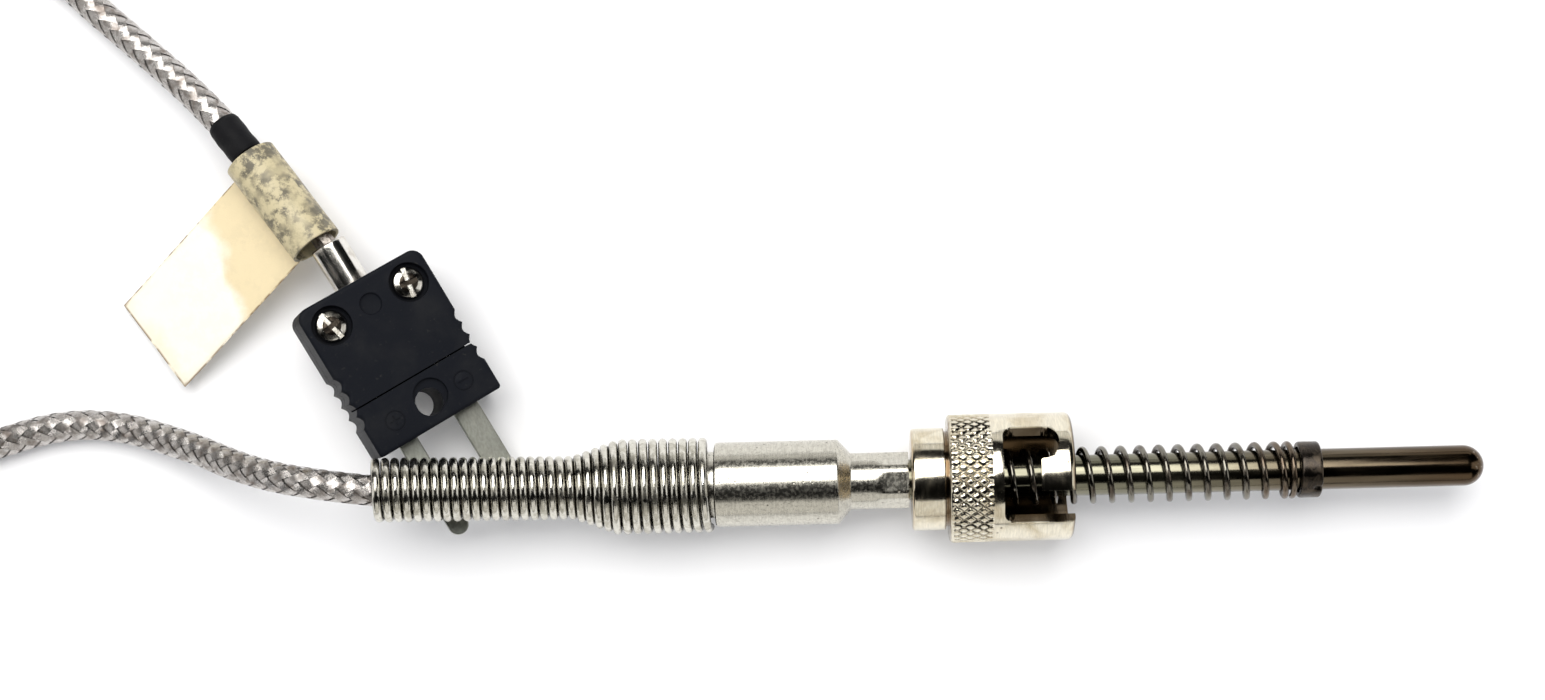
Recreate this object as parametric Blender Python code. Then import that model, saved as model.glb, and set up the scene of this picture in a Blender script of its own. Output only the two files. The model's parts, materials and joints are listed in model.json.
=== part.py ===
"""A spring-loaded bayonet thermocouple with a braided lead and a two-pin plug.

The probe lies along +X with its tip forwards and its axis one cap radius above the plane z = 0.
Places along the probe are distances back from the tip, and the middle of the probe is at x = 0.
The lead leaves the strain relief towards -X, runs down to the plane, is wound in a coil and comes
back to the plug, whose pins pass under the strain relief.
"""

import math

import bmesh
import bpy
import numpy as np
from mathutils import Matrix, Vector, geometry

MM = 0.001

# Clearances
GAP = 0.3 * MM  # between faces that touch on the real part
FIT = 0.15 * MM  # between a small piece and the bore or slot it sits in

# Probe sheath and what is inside it
PROBE_LENGTH = 130.8 * MM
SHEATH_OD = 4.8 * MM
SHEATH_WALL = 0.5 * MM
TIP_WALL = 1.2 * MM
WIRE_SPACING = 1.6 * MM
WIRE_D = 0.5 * MM
WIRE_BORE_D = 0.9 * MM
SHEATH_ID = SHEATH_OD - 2 * SHEATH_WALL
JUNCTION_CLEARANCE = 0.8 * MM
JUNCTION_D = SHEATH_ID - 2 * JUNCTION_CLEARANCE
JUNCTION_FROM_TIP = 4.0 * MM

# Retaining ring and compression spring
RING_FROM_TIP = 19.4 * MM
RING_LENGTH = 2.5 * MM
RING_OD = SHEATH_OD + 2 * (GAP + 0.6 * MM)
RING_CHAMFER = 0.3 * MM
SPRING_WIRE = 0.75 * MM
SPRING_CLEARANCE = 0.25 * MM
SPRING_OD = SHEATH_OD + 2 * (SPRING_CLEARANCE + SPRING_WIRE)
SPRING_TURNS = 18.3
SPRING_CLOSED_PITCH = 0.85 * MM
SPRING_PHASE = math.radians(70)

# Bayonet cap
CAP_FROM_TIP = 48.55 * MM
CAP_LENGTH = 18.75 * MM
CAP_OD = 15.0 * MM
CAP_WALL = 1.35 * MM
CAP_FLOOR = 4.5 * MM
CAP_RIM_CHAMFER = 0.5 * MM
COLLAR_STEP = 1.5 * MM
COLLAR_OD = CAP_OD - 2 * COLLAR_STEP
COLLAR_LENGTH = 3.9 * MM
COLLAR_CHAMFER = 0.4 * MM
GROOVE_WIDTH = 0.4 * MM
GROOVE_DEPTH = 0.4 * MM
GROOVE_OD = COLLAR_OD - 2 * GROOVE_DEPTH
SLOT_FROM_RIM = 3.95 * MM  # the near side of the cross slot
SLOT_WIDTH = 4.3 * MM
SLOT_ENTRY = (math.radians(9.4), math.radians(41.6))
SLOT_END = math.radians(-53.6)
DETENT_SIDE = math.radians(-19.6)
DETENT_DEPTH = 2.2 * MM
SLOT_CORNER = 1.3 * MM
SLOT_COUNT = 1  # a single-slot lock cap: its far side is closed
WASHER_CLEARANCE = 0.9 * MM
WASHER_OD = CAP_OD - 2 * (CAP_WALL + WASHER_CLEARANCE)
WASHER_THICKNESS = 0.8 * MM

# Transition ferrule
NECK_WALL = 0.75 * MM
NECK_OD = SHEATH_OD + 2 * (FIT + NECK_WALL)
CRIMP_DEPTH = 0.25 * MM
CRIMP_FLATS = NECK_OD - 2 * CRIMP_DEPTH
CRIMP_LENGTH = 3.3 * MM
CRIMP_BLEND = 0.5 * MM
NECK_LENGTH = 3.5 * MM
TAPER_LENGTH = 1.5 * MM
FERRULE_BODY_LENGTH = 14.4 * MM
SPIGOT_LENGTH = 6.3 * MM
CABLE_D = 3.5 * MM
CABLE_CLEARANCE = 1.45 * MM
CAVITY_OD = CABLE_D + 2 * CABLE_CLEARANCE
SPIGOT_WALL = 0.7 * MM
SPIGOT_OD = CAVITY_OD + 2 * SPIGOT_WALL
SHOULDER = 1.05 * MM
FERRULE_OD = SPIGOT_OD + 2 * SHOULDER
SHEATH_IN_FERRULE = 7.6 * MM
SPLICE_OD = 1.3 * MM
SPLICE_WALL = 0.25 * MM
SPLICE_LENGTH = 5.0 * MM
CABLE_IN_FERRULE = 8.5 * MM

# Strain relief: a close-wound spring that rests on one pin of the plug
RELIEF_WIRE = 1.04 * MM
RELIEF_WIDE_CLEARANCE = 0.66 * MM
RELIEF_WIDE_OD = SPIGOT_OD + 2 * (RELIEF_WIDE_CLEARANCE + RELIEF_WIRE)
RELIEF_NARROW_CLEARANCE = 0.96 * MM
RELIEF_NARROW_OD = CABLE_D + 2 * (RELIEF_NARROW_CLEARANCE + RELIEF_WIRE)
RELIEF_WIDE_TURNS = 9
RELIEF_WIDE_PITCH = RELIEF_WIRE + 0.14 * MM
RELIEF_FLARE_TURNS = 5
RELIEF_FLARE_PITCH = RELIEF_WIRE - 0.01 * MM
RELIEF_NARROW_PITCH = RELIEF_WIRE + 0.05 * MM
RELIEF_PHASE = math.radians(190)  # where the wire starts at the ferrule; it winds the other way from there
RELIEF_REST_AT = 33.2 * MM  # from the ferrule's rear face to the pin it rests on
RELIEF_RISE = 3.75 * MM
RELIEF_LEAN = 0.55 * MM

# Lead
CORE_D = 2.4 * MM
CABLE_SIDES_RESOLUTION = 2
ROUTE_STEP = 8.0 * MM
COIL_CENTRE = (-140.5 * MM, 26.0 * MM)
COIL_MEAN_R = 21.0 * MM
COIL_COLUMNS = 3
COIL_LAYERS = 2
TIE_THICKNESS = 0.6 * MM
TIE_WIDTH = 4.0 * MM
TIE_ANGLES = (math.radians(10), math.radians(190))

# The routes outside the coil, in millimetres: chosen points that a smooth curve runs through
LEAD_IN_ROUTE = (
    (-66.0, 0.9, 12.6),
    (-71.2, 1.7, 12.6),
    (-76.3, 2.6, 11.0),
    (-81.3, 3.9, 8.4),
    (-86.0, 5.5, 5.7),
    (-91.0, 7.0, 3.5),
    (-95.6, 8.2, 2.2),
    (-100.5, 8.8, 1.85),
    (-105.5, 8.4, 1.85),
    (-111.2, 6.9, 1.85),
    (-116.5, 5.3, 1.85),
    (-121.8, 3.6, 1.9),
    (-124.3, 2.95, 1.95),
)
LEAD_OUT_ROUTE = (
    (-142.1, 54.2, 5.4),
    (-134.5, 59.2, 4.2),
    (-126.5, 63.4, 3.0),
    (-117.5, 66.3, 2.1),
    (-108.5, 65.6, 1.85),
    (-102.5, 62.6, 1.9),
    (-97.6, 58.2, 2.3),
    (-92.3, 53.6, 3.3),
    (-87.0, 48.9, 4.7),
    (-82.4, 44.3, 6.0),
)

# Sleeves on the lead: places in millimetres where each starts and ends
SHRINK_ENDS = ((-82.2, 44.1, 6.1), (-79.0, 40.2, 7.0))
LABEL_ENDS = ((-78.8, 39.9, 7.1), (-70.9, 29.3, 8.3))
SHRINK_OD = 3.9 * MM
SHRINK_ID = 3.0 * MM
LABEL_OD = 6.3 * MM
LABEL_ID = 5.5 * MM
FLAG_LENGTH = 24.0 * MM
FLAG_WIDTH = 12.6 * MM
FLAG_SKEW = 2.1 * MM
FLAG_THICKNESS = 0.4 * MM
FLAG_DROP = 1.7 * MM  # from the sleeve's axis to where the flag leaves it
FLAG_SLOPE = math.radians(13)
CRIMP_TUBE_OD = 4.3 * MM
CRIMP_TUBE_ID = 3.1 * MM
CRIMP_TUBE_SHOWN = 5.4 * MM

# Plug, in its own frame: u across, v towards the cable and w up, the front face at v = 0, the pins at w = 0
PLUG_YAW = math.radians(28.6)
PLUG_PITCH = math.radians(6)
PLUG_ROLL = math.radians(20)
PLUG_LENGTH = 19.2 * MM
PLUG_BELOW = 3.4 * MM
PLUG_ABOVE = 4.4 * MM
PLUG_CORNER = 1.4 * MM
PLUG_EDGE = 0.4 * MM
PLUG_WALL = 1.6 * MM
FRONT_BLOCK = 6.3 * MM
GRIP_START = 3.85 * MM
GRIP_PITCH = 1.68 * MM
GRIP_COUNT = 4
GRIP_DEPTH = 0.45 * MM
PIN_SPACING = 7.9 * MM
TAB_WIDTH = 4.4 * MM
TAB_CLEARANCE = 0.4 * MM
CAVITY_WIDTH = PIN_SPACING + TAB_WIDTH + 2 * TAB_CLEARANCE
PLUG_WIDTH = CAVITY_WIDTH + 2 * PLUG_WALL
PIN_THICKNESS = 0.8 * MM
PIN_LENGTH = 12.7 * MM
PIN_WIDTHS = {"positive": 2.4 * MM, "negative": 3.2 * MM}
PIN_SIDES = {"positive": -1, "negative": 1}
CHANNEL_LENGTH = 5.6 * MM
CAVITY_START = 7.4 * MM
CAVITY_END = PLUG_LENGTH - CHANNEL_LENGTH
TAB_FROM_WALL = 2.2 * MM
TAB_END = CAVITY_END - TAB_FROM_WALL
CAVITY_DEPTH_BELOW = 2.1 * MM
CAVITY_DEPTH_ABOVE = 2.9 * MM
TERMINAL_SCREW_V = TAB_END - 1.9 * MM
COVER_SCREW_V = PLUG_LENGTH - 3.2 * MM
COUNTERBORE_D = 4.7 * MM
COUNTERBORE_EDGE = 0.7 * MM
COVER_SCREW_U = PLUG_WIDTH / 2 - COUNTERBORE_EDGE - COUNTERBORE_D / 2
PLUG_LOW_CORNER = (PLUG_WIDTH / 2 - PLUG_EDGE) * math.sin(PLUG_ROLL) + PLUG_BELOW * math.cos(PLUG_ROLL)
PLUG_PLACE = (-57.9 * MM, 7.95 * MM, PLUG_LOW_CORNER * math.cos(PLUG_PITCH))
COUNTERBORE_DEPTH = 1.3 * MM
SCREW_HEAD_D = 3.7 * MM
SCREW_HEAD_HEIGHT = 1.0 * MM
SCREW_CROWN_D = 2.6 * MM
SCREW_SHANK_D = 2.0 * MM
SCREW_DRIVE_WIDTH = 0.6 * MM
SCREW_CROSS_LENGTH = 2.2 * MM
SCREW_DRIVE_DEPTH = 0.45 * MM
DIMPLE_D = 2.6 * MM
DIMPLE_DEPTH = 0.35 * MM
KEY_HOLE_D = 3.3 * MM
KEY_HOLE_V = 2.8 * MM
CONDUCTOR_D = 0.9 * MM

# Facets
ROUND = 24
FINE = 40
SMALL = 12
WIRE_SIDES = 5
SPRING_SEGMENTS = 12  # in one turn
RELIEF_SEGMENTS = 10

AXIS_Z = CAP_OD / 2


def clear_scene():
    """Removes whatever the scene starts with."""
    for obj in list(bpy.data.objects):
        bpy.data.objects.remove(obj, do_unlink=True)


def material(name, colour, roughness, metallic):
    """A plain material of one colour."""
    found = bpy.data.materials.new(name)
    found.use_nodes = True
    shader = found.node_tree.nodes["Principled BSDF"]
    shader.inputs["Base Color"].default_value = (*colour, 1.0)
    shader.inputs["Roughness"].default_value = roughness
    shader.inputs["Metallic"].default_value = metallic
    return found


def back(distance):
    """The x of a point this far behind the probe's tip."""
    return PROBE_LENGTH / 2 - distance


def finish(name, bm, finish_material, parent=None, round_piece=True):
    """Makes the object of a closed bmesh, faces outwards."""
    bmesh.ops.recalc_face_normals(bm, faces=bm.faces)
    mesh = bpy.data.meshes.new(name)
    bm.to_mesh(mesh)
    bm.free()
    mesh.materials.append(finish_material)
    if round_piece:
        mesh.shade_smooth()
        mesh.set_sharp_from_angle(angle=math.radians(35))
    obj = bpy.data.objects.new(name, mesh)
    obj.parent = parent
    bpy.context.scene.collection.objects.link(obj)
    return obj


def empty(name, matrix):
    """A frame that pieces are placed in."""
    obj = bpy.data.objects.new(name, None)
    obj.matrix_world = matrix
    bpy.context.scene.collection.objects.link(obj)
    return obj


def probe_frame(x):
    """A point on the probe's axis, which is also every probe joint's axis."""
    return Matrix.Translation((x, 0.0, AXIS_Z))


def loft(rings, closed):
    """A skin over rings of points; a ring of one point is a pole, and open ends are capped."""
    bm = bmesh.new()
    made = [[bm.verts.new(point) for point in ring] for ring in rings]
    pairs = list(zip(made, made[1:] + made[:1] if closed else made[1:]))
    for first, second in pairs:
        count = max(len(first), len(second))
        for i in range(count):
            j = (i + 1) % count
            corners = [first[i % len(first)], first[j % len(first)]]
            corners += [second[j % len(second)], second[i % len(second)]]
            bm.faces.new(dict.fromkeys(corners))
    if not closed:
        for ring in (made[0], made[-1]):
            if len(ring) > 2:
                bm.faces.new(ring)
    return bm


def turned(profile, sides, axis="X", offset=(0.0, 0.0), radius_at=None):
    """A profile of (place along the axis, radius) points turned about the axis.

    A profile that starts and ends on the axis is solid; any other is closed into a tube.
    """
    rings = []
    for along, radius in profile:
        if radius == 0:
            rings.append([turned_point(axis, along, 0.0, 0.0, offset)])
            continue
        ring = []
        for i in range(sides):
            angle = 2 * math.pi * i / sides
            reach = radius_at(along, angle, radius) if radius_at else radius
            ring.append(turned_point(axis, along, reach * math.cos(angle), reach * math.sin(angle), offset))
        rings.append(ring)
    return loft(rings, closed=profile[0][1] > 0)


def turned_point(axis, along, first, second, offset):
    """A point this far along an axis, and this far from it in the two other directions."""
    first += offset[0]
    second += offset[1]
    return {
        "X": (along, first, second),
        "Y": (first, along, second),
        "Z": (first, second, along),
    }[axis]


def rod(start, end, radius):
    """The profile of a solid cylinder."""
    return [(start, 0.0), (start, radius), (end, radius), (end, 0.0)]


def pipe(start, end, inner, outer):
    """The profile of a tube."""
    return [(start, inner), (start, outer), (end, outer), (end, inner)]


def prism(outline, low, high, edge=0.0):
    """An outline of (u, v) points raised from low to high, drawn in a little at both ends."""
    centre_v = sum(v for _, v in outline) / len(outline)
    reach_u = max(abs(u) for u, _ in outline)
    reach_v = max(abs(v - centre_v) for _, v in outline)

    def level(w, inset):
        share_u = 1 - inset / reach_u
        share_v = 1 - inset / reach_v
        return [(u * share_u, centre_v + (v - centre_v) * share_v, w) for u, v in outline]

    if not edge:
        return loft([level(low, 0.0), level(high, 0.0)], closed=False)
    levels = [level(low, edge), level(low + edge, 0.0), level(high - edge, 0.0), level(high, edge)]
    return loft(levels, closed=False)


def block(low, high):
    """A box between two corners."""
    outline = [(low[0], low[1]), (high[0], low[1]), (high[0], high[1]), (low[0], high[1])]
    return loft([[(u, v, w) for u, v in outline] for w in (low[2], high[2])], closed=False)


def arc(centre, radius, start, end, steps):
    """Points of an arc in degrees."""
    angles = [math.radians(start + (end - start) * i / steps) for i in range(steps + 1)]
    return [(centre[0] + radius * math.cos(a), centre[1] + radius * math.sin(a)) for a in angles]


def boolean(target, other_bm, operation="DIFFERENCE"):
    """Cuts a shape from the target, or joins it on; the shape stays as a hidden helper."""
    helper_name = f"helper_{target.name}_{len(target.modifiers)}"
    helper = finish(helper_name, other_bm, target.active_material, target.parent)
    helper.hide_render = True
    helper.display_type = "WIRE"
    modifier = target.modifiers.new(operation.lower(), "BOOLEAN")
    modifier.operation = operation
    modifier.object = helper
    modifier.solver = "EXACT"


def smooth_route(points, step=ROUTE_STEP):
    """Evenly spaced points along a Catmull-Rom curve through the given points, in metres."""
    given = np.array(points, float) * MM
    ends = np.vstack([2 * given[0] - given[1], given, 2 * given[-1] - given[-2]])
    t = np.linspace(0, 1, 24, endpoint=False)[:, None]
    pieces = []
    for p0, p1, p2, p3 in zip(ends, ends[1:], ends[2:], ends[3:]):
        cubic = 2 * p0 - 5 * p1 + 4 * p2 - p3
        pieces.append(0.5 * (2 * p1 + (p2 - p0) * t + cubic * t**2 + (3 * p1 - p0 - 3 * p2 + p3) * t**3))
    dense = np.vstack([*pieces, given[-1:]])
    run = np.concatenate([[0], np.cumsum(np.linalg.norm(np.diff(dense, axis=0), axis=1))])
    places = np.linspace(0, run[-1], max(2, round(run[-1] / step) + 1))
    return np.column_stack([np.interp(places, run, dense[:, i]) for i in range(3)])


def cord(name, points, diameter, cord_material, parent=None):
    """A round cord along the points, as a curve with a bevel and filled caps."""
    curve = bpy.data.curves.new(name, "CURVE")
    curve.dimensions = "3D"
    curve.bevel_depth = diameter / 2
    curve.bevel_resolution = CABLE_SIDES_RESOLUTION
    curve.use_fill_caps = True
    spline = curve.splines.new("POLY")
    spline.points.add(len(points) - 1)
    for place, point in zip(spline.points, points):
        place.co = (*point, 1.0)
    curve.materials.append(cord_material)
    obj = bpy.data.objects.new(name, curve)
    obj.parent = parent
    bpy.context.scene.collection.objects.link(obj)
    return obj


def helix_rings(angles, places, radii, wire, axis_point):
    """Rings of a round wire wound about a line: axis_point gives the line's point, its normals and run."""
    around = np.arange(WIRE_SIDES) * 2 * math.pi / WIRE_SIDES
    rings = []
    for angle, place, radius in zip(angles, places, radii):
        centre, first, second, along = axis_point(place)
        outward = math.cos(angle) * first + math.sin(angle) * second
        middle = centre + radius * outward
        rings.append(
            [middle + wire / 2 * (math.cos(a) * outward + math.sin(a) * along) for a in around]
        )
    return rings


# Places along the probe, as x, each from its neighbour's dimensions
RING_FRONT = back(RING_FROM_TIP)
RING_REAR = RING_FRONT - RING_LENGTH
CAP_RIM = back(CAP_FROM_TIP)
CAP_REAR = CAP_RIM - CAP_LENGTH
CAP_SEAT = CAP_REAR + CAP_FLOOR
WASHER_REAR = CAP_SEAT + GAP
WASHER_FRONT = WASHER_REAR + WASHER_THICKNESS
FERRULE_FRONT = CAP_REAR - GAP
CRIMP_REAR = FERRULE_FRONT - CRIMP_LENGTH
NECK_REAR = CRIMP_REAR - NECK_LENGTH
TAPER_REAR = NECK_REAR - TAPER_LENGTH
FERRULE_REAR = TAPER_REAR - FERRULE_BODY_LENGTH
SPIGOT_REAR = FERRULE_REAR - SPIGOT_LENGTH
SHEATH_REAR = FERRULE_FRONT - SHEATH_IN_FERRULE
RELIEF_FRONT = FERRULE_REAR - GAP
RELIEF_REAR = -PROBE_LENGTH / 2
CABLE_FRONT = SPIGOT_REAR + CABLE_IN_FERRULE
SPLICE_FRONT = SHEATH_REAR - GAP
SPLICE_REAR = SPLICE_FRONT - SPLICE_LENGTH
BORE_OVER_SHEATH = SHEATH_OD / 2 + GAP


def sheath_tube(metal):
    """A tube with its front end closed to a dome."""
    radius = SHEATH_OD / 2
    dome = back(radius)
    outer = [(dome + y, x) for x, y in arc((0, 0), radius, 0, 90, 8)]
    inner = SHEATH_ID / 2
    bore_end = back(TIP_WALL + inner)
    bore = [(bore_end + y, x) for x, y in arc((0, 0), inner, 90, 0, 5)]
    outer[-1] = (outer[-1][0], 0.0)
    bore[0] = (bore[0][0], 0.0)
    profile = [*bore, (SHEATH_REAR, inner), (SHEATH_REAR, radius), *outer]
    finish("sheath_tube", turned(profile, ROUND), metal, PROBE)


def sheath_inside(ceramic, alloys, metal):
    """The twin-bore insulator, the two thermoelement wires, their junction, and the two splices."""
    inner_front = back(JUNCTION_FROM_TIP + JUNCTION_D / 2 + GAP)
    profile = rod(SHEATH_REAR, inner_front, SHEATH_ID / 2 - GAP)
    insulator = finish("ceramic_insulator", turned(profile, ROUND), ceramic, PROBE)
    lead_end = CABLE_FRONT + GAP
    splice_middle = (SPLICE_FRONT + SPLICE_REAR) / 2
    bead_x = back(JUNCTION_FROM_TIP)
    bead = [(bead_x + y, x) for x, y in arc((0, 0), JUNCTION_D / 2, -90, 90, 8)]
    bead[0] = (bead[0][0], 0.0)
    bead[-1] = (bead[-1][0], 0.0)
    finish("measuring_junction", turned(bead, SMALL), metal, PROBE)
    for name, side in PIN_SIDES.items():
        offset = (side * WIRE_SPACING / 2, 0.0)
        bore = rod(SHEATH_REAR - GAP, inner_front + GAP, WIRE_BORE_D / 2)
        boolean(insulator, turned(bore, SMALL, offset=offset))
        wire = rod(splice_middle + FIT, inner_front - FIT, WIRE_D / 2)
        finish(f"thermoelement_{name}", turned(wire, SMALL, offset=offset), alloys[name], PROBE)
        tail = rod(lead_end, splice_middle - FIT, WIRE_D / 2)
        finish(f"lead_wire_{name}", turned(tail, SMALL, offset=offset), alloys[name], PROBE)
        tube = pipe(SPLICE_REAR, SPLICE_FRONT, SPLICE_OD / 2 - SPLICE_WALL, SPLICE_OD / 2)
        finish(f"splice_{name}", turned(tube, SMALL, offset=offset), metal, PROBE)


def retaining_ring(metal):
    """The collar that holds the front end of the compression spring."""
    chamfer = RING_CHAMFER
    inner = BORE_OVER_SHEATH
    outer = RING_OD / 2
    profile = [
        (RING_REAR, inner),
        (RING_REAR, outer - chamfer),
        (RING_REAR + chamfer, outer),
        (RING_FRONT - chamfer, outer),
        (RING_FRONT, outer - chamfer),
        (RING_FRONT, inner),
    ]
    finish("retaining_ring", turned(profile, ROUND), metal, PROBE)


def compression_spring(metal):
    """An open spring from the thrust washer to the retaining ring, with one closed turn at each end."""
    start = WASHER_FRONT + GAP + SPRING_WIRE / 2
    end = RING_REAR - GAP - SPRING_WIRE / 2
    open_turns = SPRING_TURNS - 2
    open_pitch = (end - start - 2 * SPRING_CLOSED_PITCH) / open_turns
    turns = np.linspace(0, SPRING_TURNS, round(SPRING_TURNS * SPRING_SEGMENTS) + 1)
    knots = [0, 1, SPRING_TURNS - 1, SPRING_TURNS]
    runs = np.cumsum([0, SPRING_CLOSED_PITCH, open_turns * open_pitch, SPRING_CLOSED_PITCH])
    places = start + np.interp(turns, knots, runs)
    radii = np.full(len(turns), (SPRING_OD - SPRING_WIRE) / 2)
    angles = SPRING_PHASE + 2 * math.pi * turns

    def straight(x):
        return np.array([x, 0, 0]), np.array([0, 1, 0]), np.array([0, 0, 1]), np.array([1, 0, 0])

    rings = helix_rings(angles, places, radii, SPRING_WIRE, straight)
    finish("compression_spring", loft(rings, closed=False), metal, PROBE)


def slot_outline():
    """The slot in the cap's unrolled wall, as (angle, x) points: a way in, a cross slot and a detent."""
    wall_r = (CAP_OD - CAP_WALL) / 2
    near = CAP_RIM - SLOT_FROM_RIM
    far = near - SLOT_WIDTH
    turn = SLOT_CORNER / wall_r
    detent_r = wall_r * (DETENT_SIDE - SLOT_END) / 2
    detent_mid = (DETENT_SIDE + SLOT_END) / 2
    detent_base = near + DETENT_DEPTH - detent_r
    outline = [(SLOT_ENTRY[0], CAP_RIM + CAP_WALL), (SLOT_ENTRY[1], CAP_RIM + CAP_WALL)]
    for angle, x in arc((0, 0), 1, 0, -90, 5):
        outline.append((SLOT_ENTRY[1] - turn + turn * angle, far + SLOT_CORNER + SLOT_CORNER * x))
    for angle, x in arc((0, 0), 1, -90, -180, 5):
        outline.append((SLOT_END + turn + turn * angle, far + SLOT_CORNER + SLOT_CORNER * x))
    for angle, x in arc((0, 0), 1, 180, 0, 8):
        outline.append((detent_mid + detent_r / wall_r * angle, detent_base + detent_r * x))
    outline.append((DETENT_SIDE, near))
    outline.append((SLOT_ENTRY[0], near))
    return outline


def slot_cutter(turn):
    """The slot's outline wrapped round the cap's axis and made deep enough to pass through the wall."""
    outline = slot_outline()
    wall_r = (CAP_OD - CAP_WALL) / 2
    flat = [Vector((angle * wall_r, x, 0)) for angle, x in outline]
    bm = bmesh.new()
    levels = []
    for radius in (CAP_OD / 2 - 2 * CAP_WALL, CAP_OD):
        points = [
            (x, -radius * math.sin(angle + turn), radius * math.cos(angle + turn))
            for angle, x in outline
        ]
        levels.append([bm.verts.new(point) for point in points])
    for corners in geometry.tessellate_polygon([flat]):
        for level in levels:
            bm.faces.new([level[i] for i in corners])
    count = len(outline)
    for i in range(count):
        j = (i + 1) % count
        bm.faces.new([levels[0][i], levels[0][j], levels[1][j], levels[1][i]])
    return bm


def bayonet_cap(metal):
    """The cap with its rear collar, its groove, the band for the grip and the bayonet slot."""
    outer = CAP_OD / 2
    collar = COLLAR_OD / 2
    collar_front = CAP_REAR + COLLAR_LENGTH
    band_rear = collar_front + GROOVE_WIDTH
    profile = [
        (CAP_REAR, BORE_OVER_SHEATH),
        (CAP_REAR, collar - COLLAR_CHAMFER),
        (CAP_REAR + COLLAR_CHAMFER, collar),
        (collar_front, collar),
        (collar_front, GROOVE_OD / 2),
        (band_rear, GROOVE_OD / 2),
        (band_rear, outer - COLLAR_CHAMFER),
        (band_rear + COLLAR_CHAMFER, outer),
        (CAP_RIM - CAP_RIM_CHAMFER, outer),
        (CAP_RIM, outer - CAP_RIM_CHAMFER),
        (CAP_RIM, outer - CAP_WALL),
        (CAP_SEAT, outer - CAP_WALL),
        (CAP_SEAT, BORE_OVER_SHEATH),
    ]
    cap = finish("bayonet_cap", turned(profile, FINE), metal, CAP_SPIN)
    for i in range(SLOT_COUNT):
        boolean(cap, slot_cutter(2 * math.pi * i / SLOT_COUNT))
    profile = pipe(WASHER_REAR, WASHER_FRONT, BORE_OVER_SHEATH, WASHER_OD / 2)
    finish("thrust_washer", turned(profile, ROUND), metal, CAP_SLIDE)


def transition_ferrule(metal, resin):
    """The turned ferrule that joins sheath and lead, crimped on the sheath by six flats; its filling."""
    neck = NECK_OD / 2
    body = FERRULE_OD / 2
    spigot = SPIGOT_OD / 2
    cavity = CAVITY_OD / 2
    cavity_front = SHEATH_REAR - FIT
    crimp_blend = CRIMP_REAR + CRIMP_BLEND

    def crimped(along, angle, radius):
        flat = math.pi / 3
        reach = CRIMP_FLATS / 2 / math.cos((angle + flat / 2) % flat - flat / 2)
        return min(radius, reach) if along > CRIMP_REAR and radius == neck else radius

    profile = [
        (FERRULE_FRONT, SHEATH_OD / 2 + FIT),
        (FERRULE_FRONT, neck),
        (crimp_blend, neck),
        (CRIMP_REAR, neck),
        (NECK_REAR, neck),
        (TAPER_REAR, body),
        (FERRULE_REAR, body),
        (FERRULE_REAR, spigot),
        (SPIGOT_REAR, spigot),
        (SPIGOT_REAR, cavity),
        (cavity_front, cavity),
        (cavity_front, SHEATH_OD / 2 + FIT),
    ]
    finish("transition_ferrule", turned(profile, FINE, radius_at=crimped), metal, PROBE)
    step = CABLE_FRONT + GAP
    filling = [
        (SPIGOT_REAR, CABLE_D / 2 + GAP),
        (SPIGOT_REAR, cavity - FIT),
        (SPLICE_FRONT - GAP, cavity - FIT),
        (SPLICE_FRONT - GAP, (WIRE_SPACING + SPLICE_OD) / 2 + FIT),
        (step, (WIRE_SPACING + SPLICE_OD) / 2 + FIT),
        (step, CABLE_D / 2 + GAP),
    ]
    finish("ferrule_filling", turned(filling, ROUND), resin, PROBE)


def relief_axis(x):
    """The strain relief's centre line: straight out of the ferrule, then bent up where it rests on the pin.

    It has the shape of a beam held at the ferrule and pushed at one point, straight beyond that point.
    """
    run = max(0.0, FERRULE_REAR - x)
    held = min(run, RELIEF_REST_AT)
    share = (3 * RELIEF_REST_AT * held**2 - held**3) / (2 * RELIEF_REST_AT**3)
    share += 1.5 / RELIEF_REST_AT * (run - held)
    steep = (3 * RELIEF_REST_AT * held - 1.5 * held**2) / RELIEF_REST_AT**3
    centre = np.array([x, RELIEF_LEAN * share, RELIEF_RISE * share])
    along = np.array([-1.0, RELIEF_LEAN * steep, RELIEF_RISE * steep])
    along /= np.linalg.norm(along)
    first = np.cross(along, (0, 0, 1))
    first /= np.linalg.norm(first)
    return centre, first, np.cross(first, along), along


def strain_relief(metal):
    """One wire wound close, wide over the ferrule's spigot, flared down and then narrow over the lead."""
    spans = (
        (RELIEF_WIDE_TURNS, RELIEF_WIDE_PITCH * RELIEF_WIDE_TURNS),
        (RELIEF_FLARE_TURNS, RELIEF_FLARE_PITCH * RELIEF_FLARE_TURNS),
    )
    front = RELIEF_FRONT - RELIEF_WIRE / 2
    narrow = (RELIEF_NARROW_OD - RELIEF_WIRE) / 2
    tail_slope = 1.5 * RELIEF_RISE / RELIEF_REST_AT
    rear = RELIEF_REAR + RELIEF_WIRE / 2 + narrow * tail_slope
    narrow_run = front - rear - sum(length for _, length in spans)
    narrow_turns = round(narrow_run / RELIEF_NARROW_PITCH)
    knots = np.cumsum([0, *[turns for turns, _ in spans], narrow_turns])
    runs = np.cumsum([0, *[length for _, length in spans], narrow_run])
    turns = np.linspace(0, knots[-1], int(knots[-1]) * RELIEF_SEGMENTS + 1)
    wide = (RELIEF_WIDE_OD - RELIEF_WIRE) / 2
    radii = np.interp(turns, knots, [wide, wide, narrow, narrow])
    places = front - np.interp(turns, knots, runs)
    angles = RELIEF_PHASE - 2 * math.pi * turns
    rings = helix_rings(angles, places, radii, RELIEF_WIRE, relief_axis)
    finish("strain_relief_spring", loft(rings, closed=False), metal, PROBE)


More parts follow.
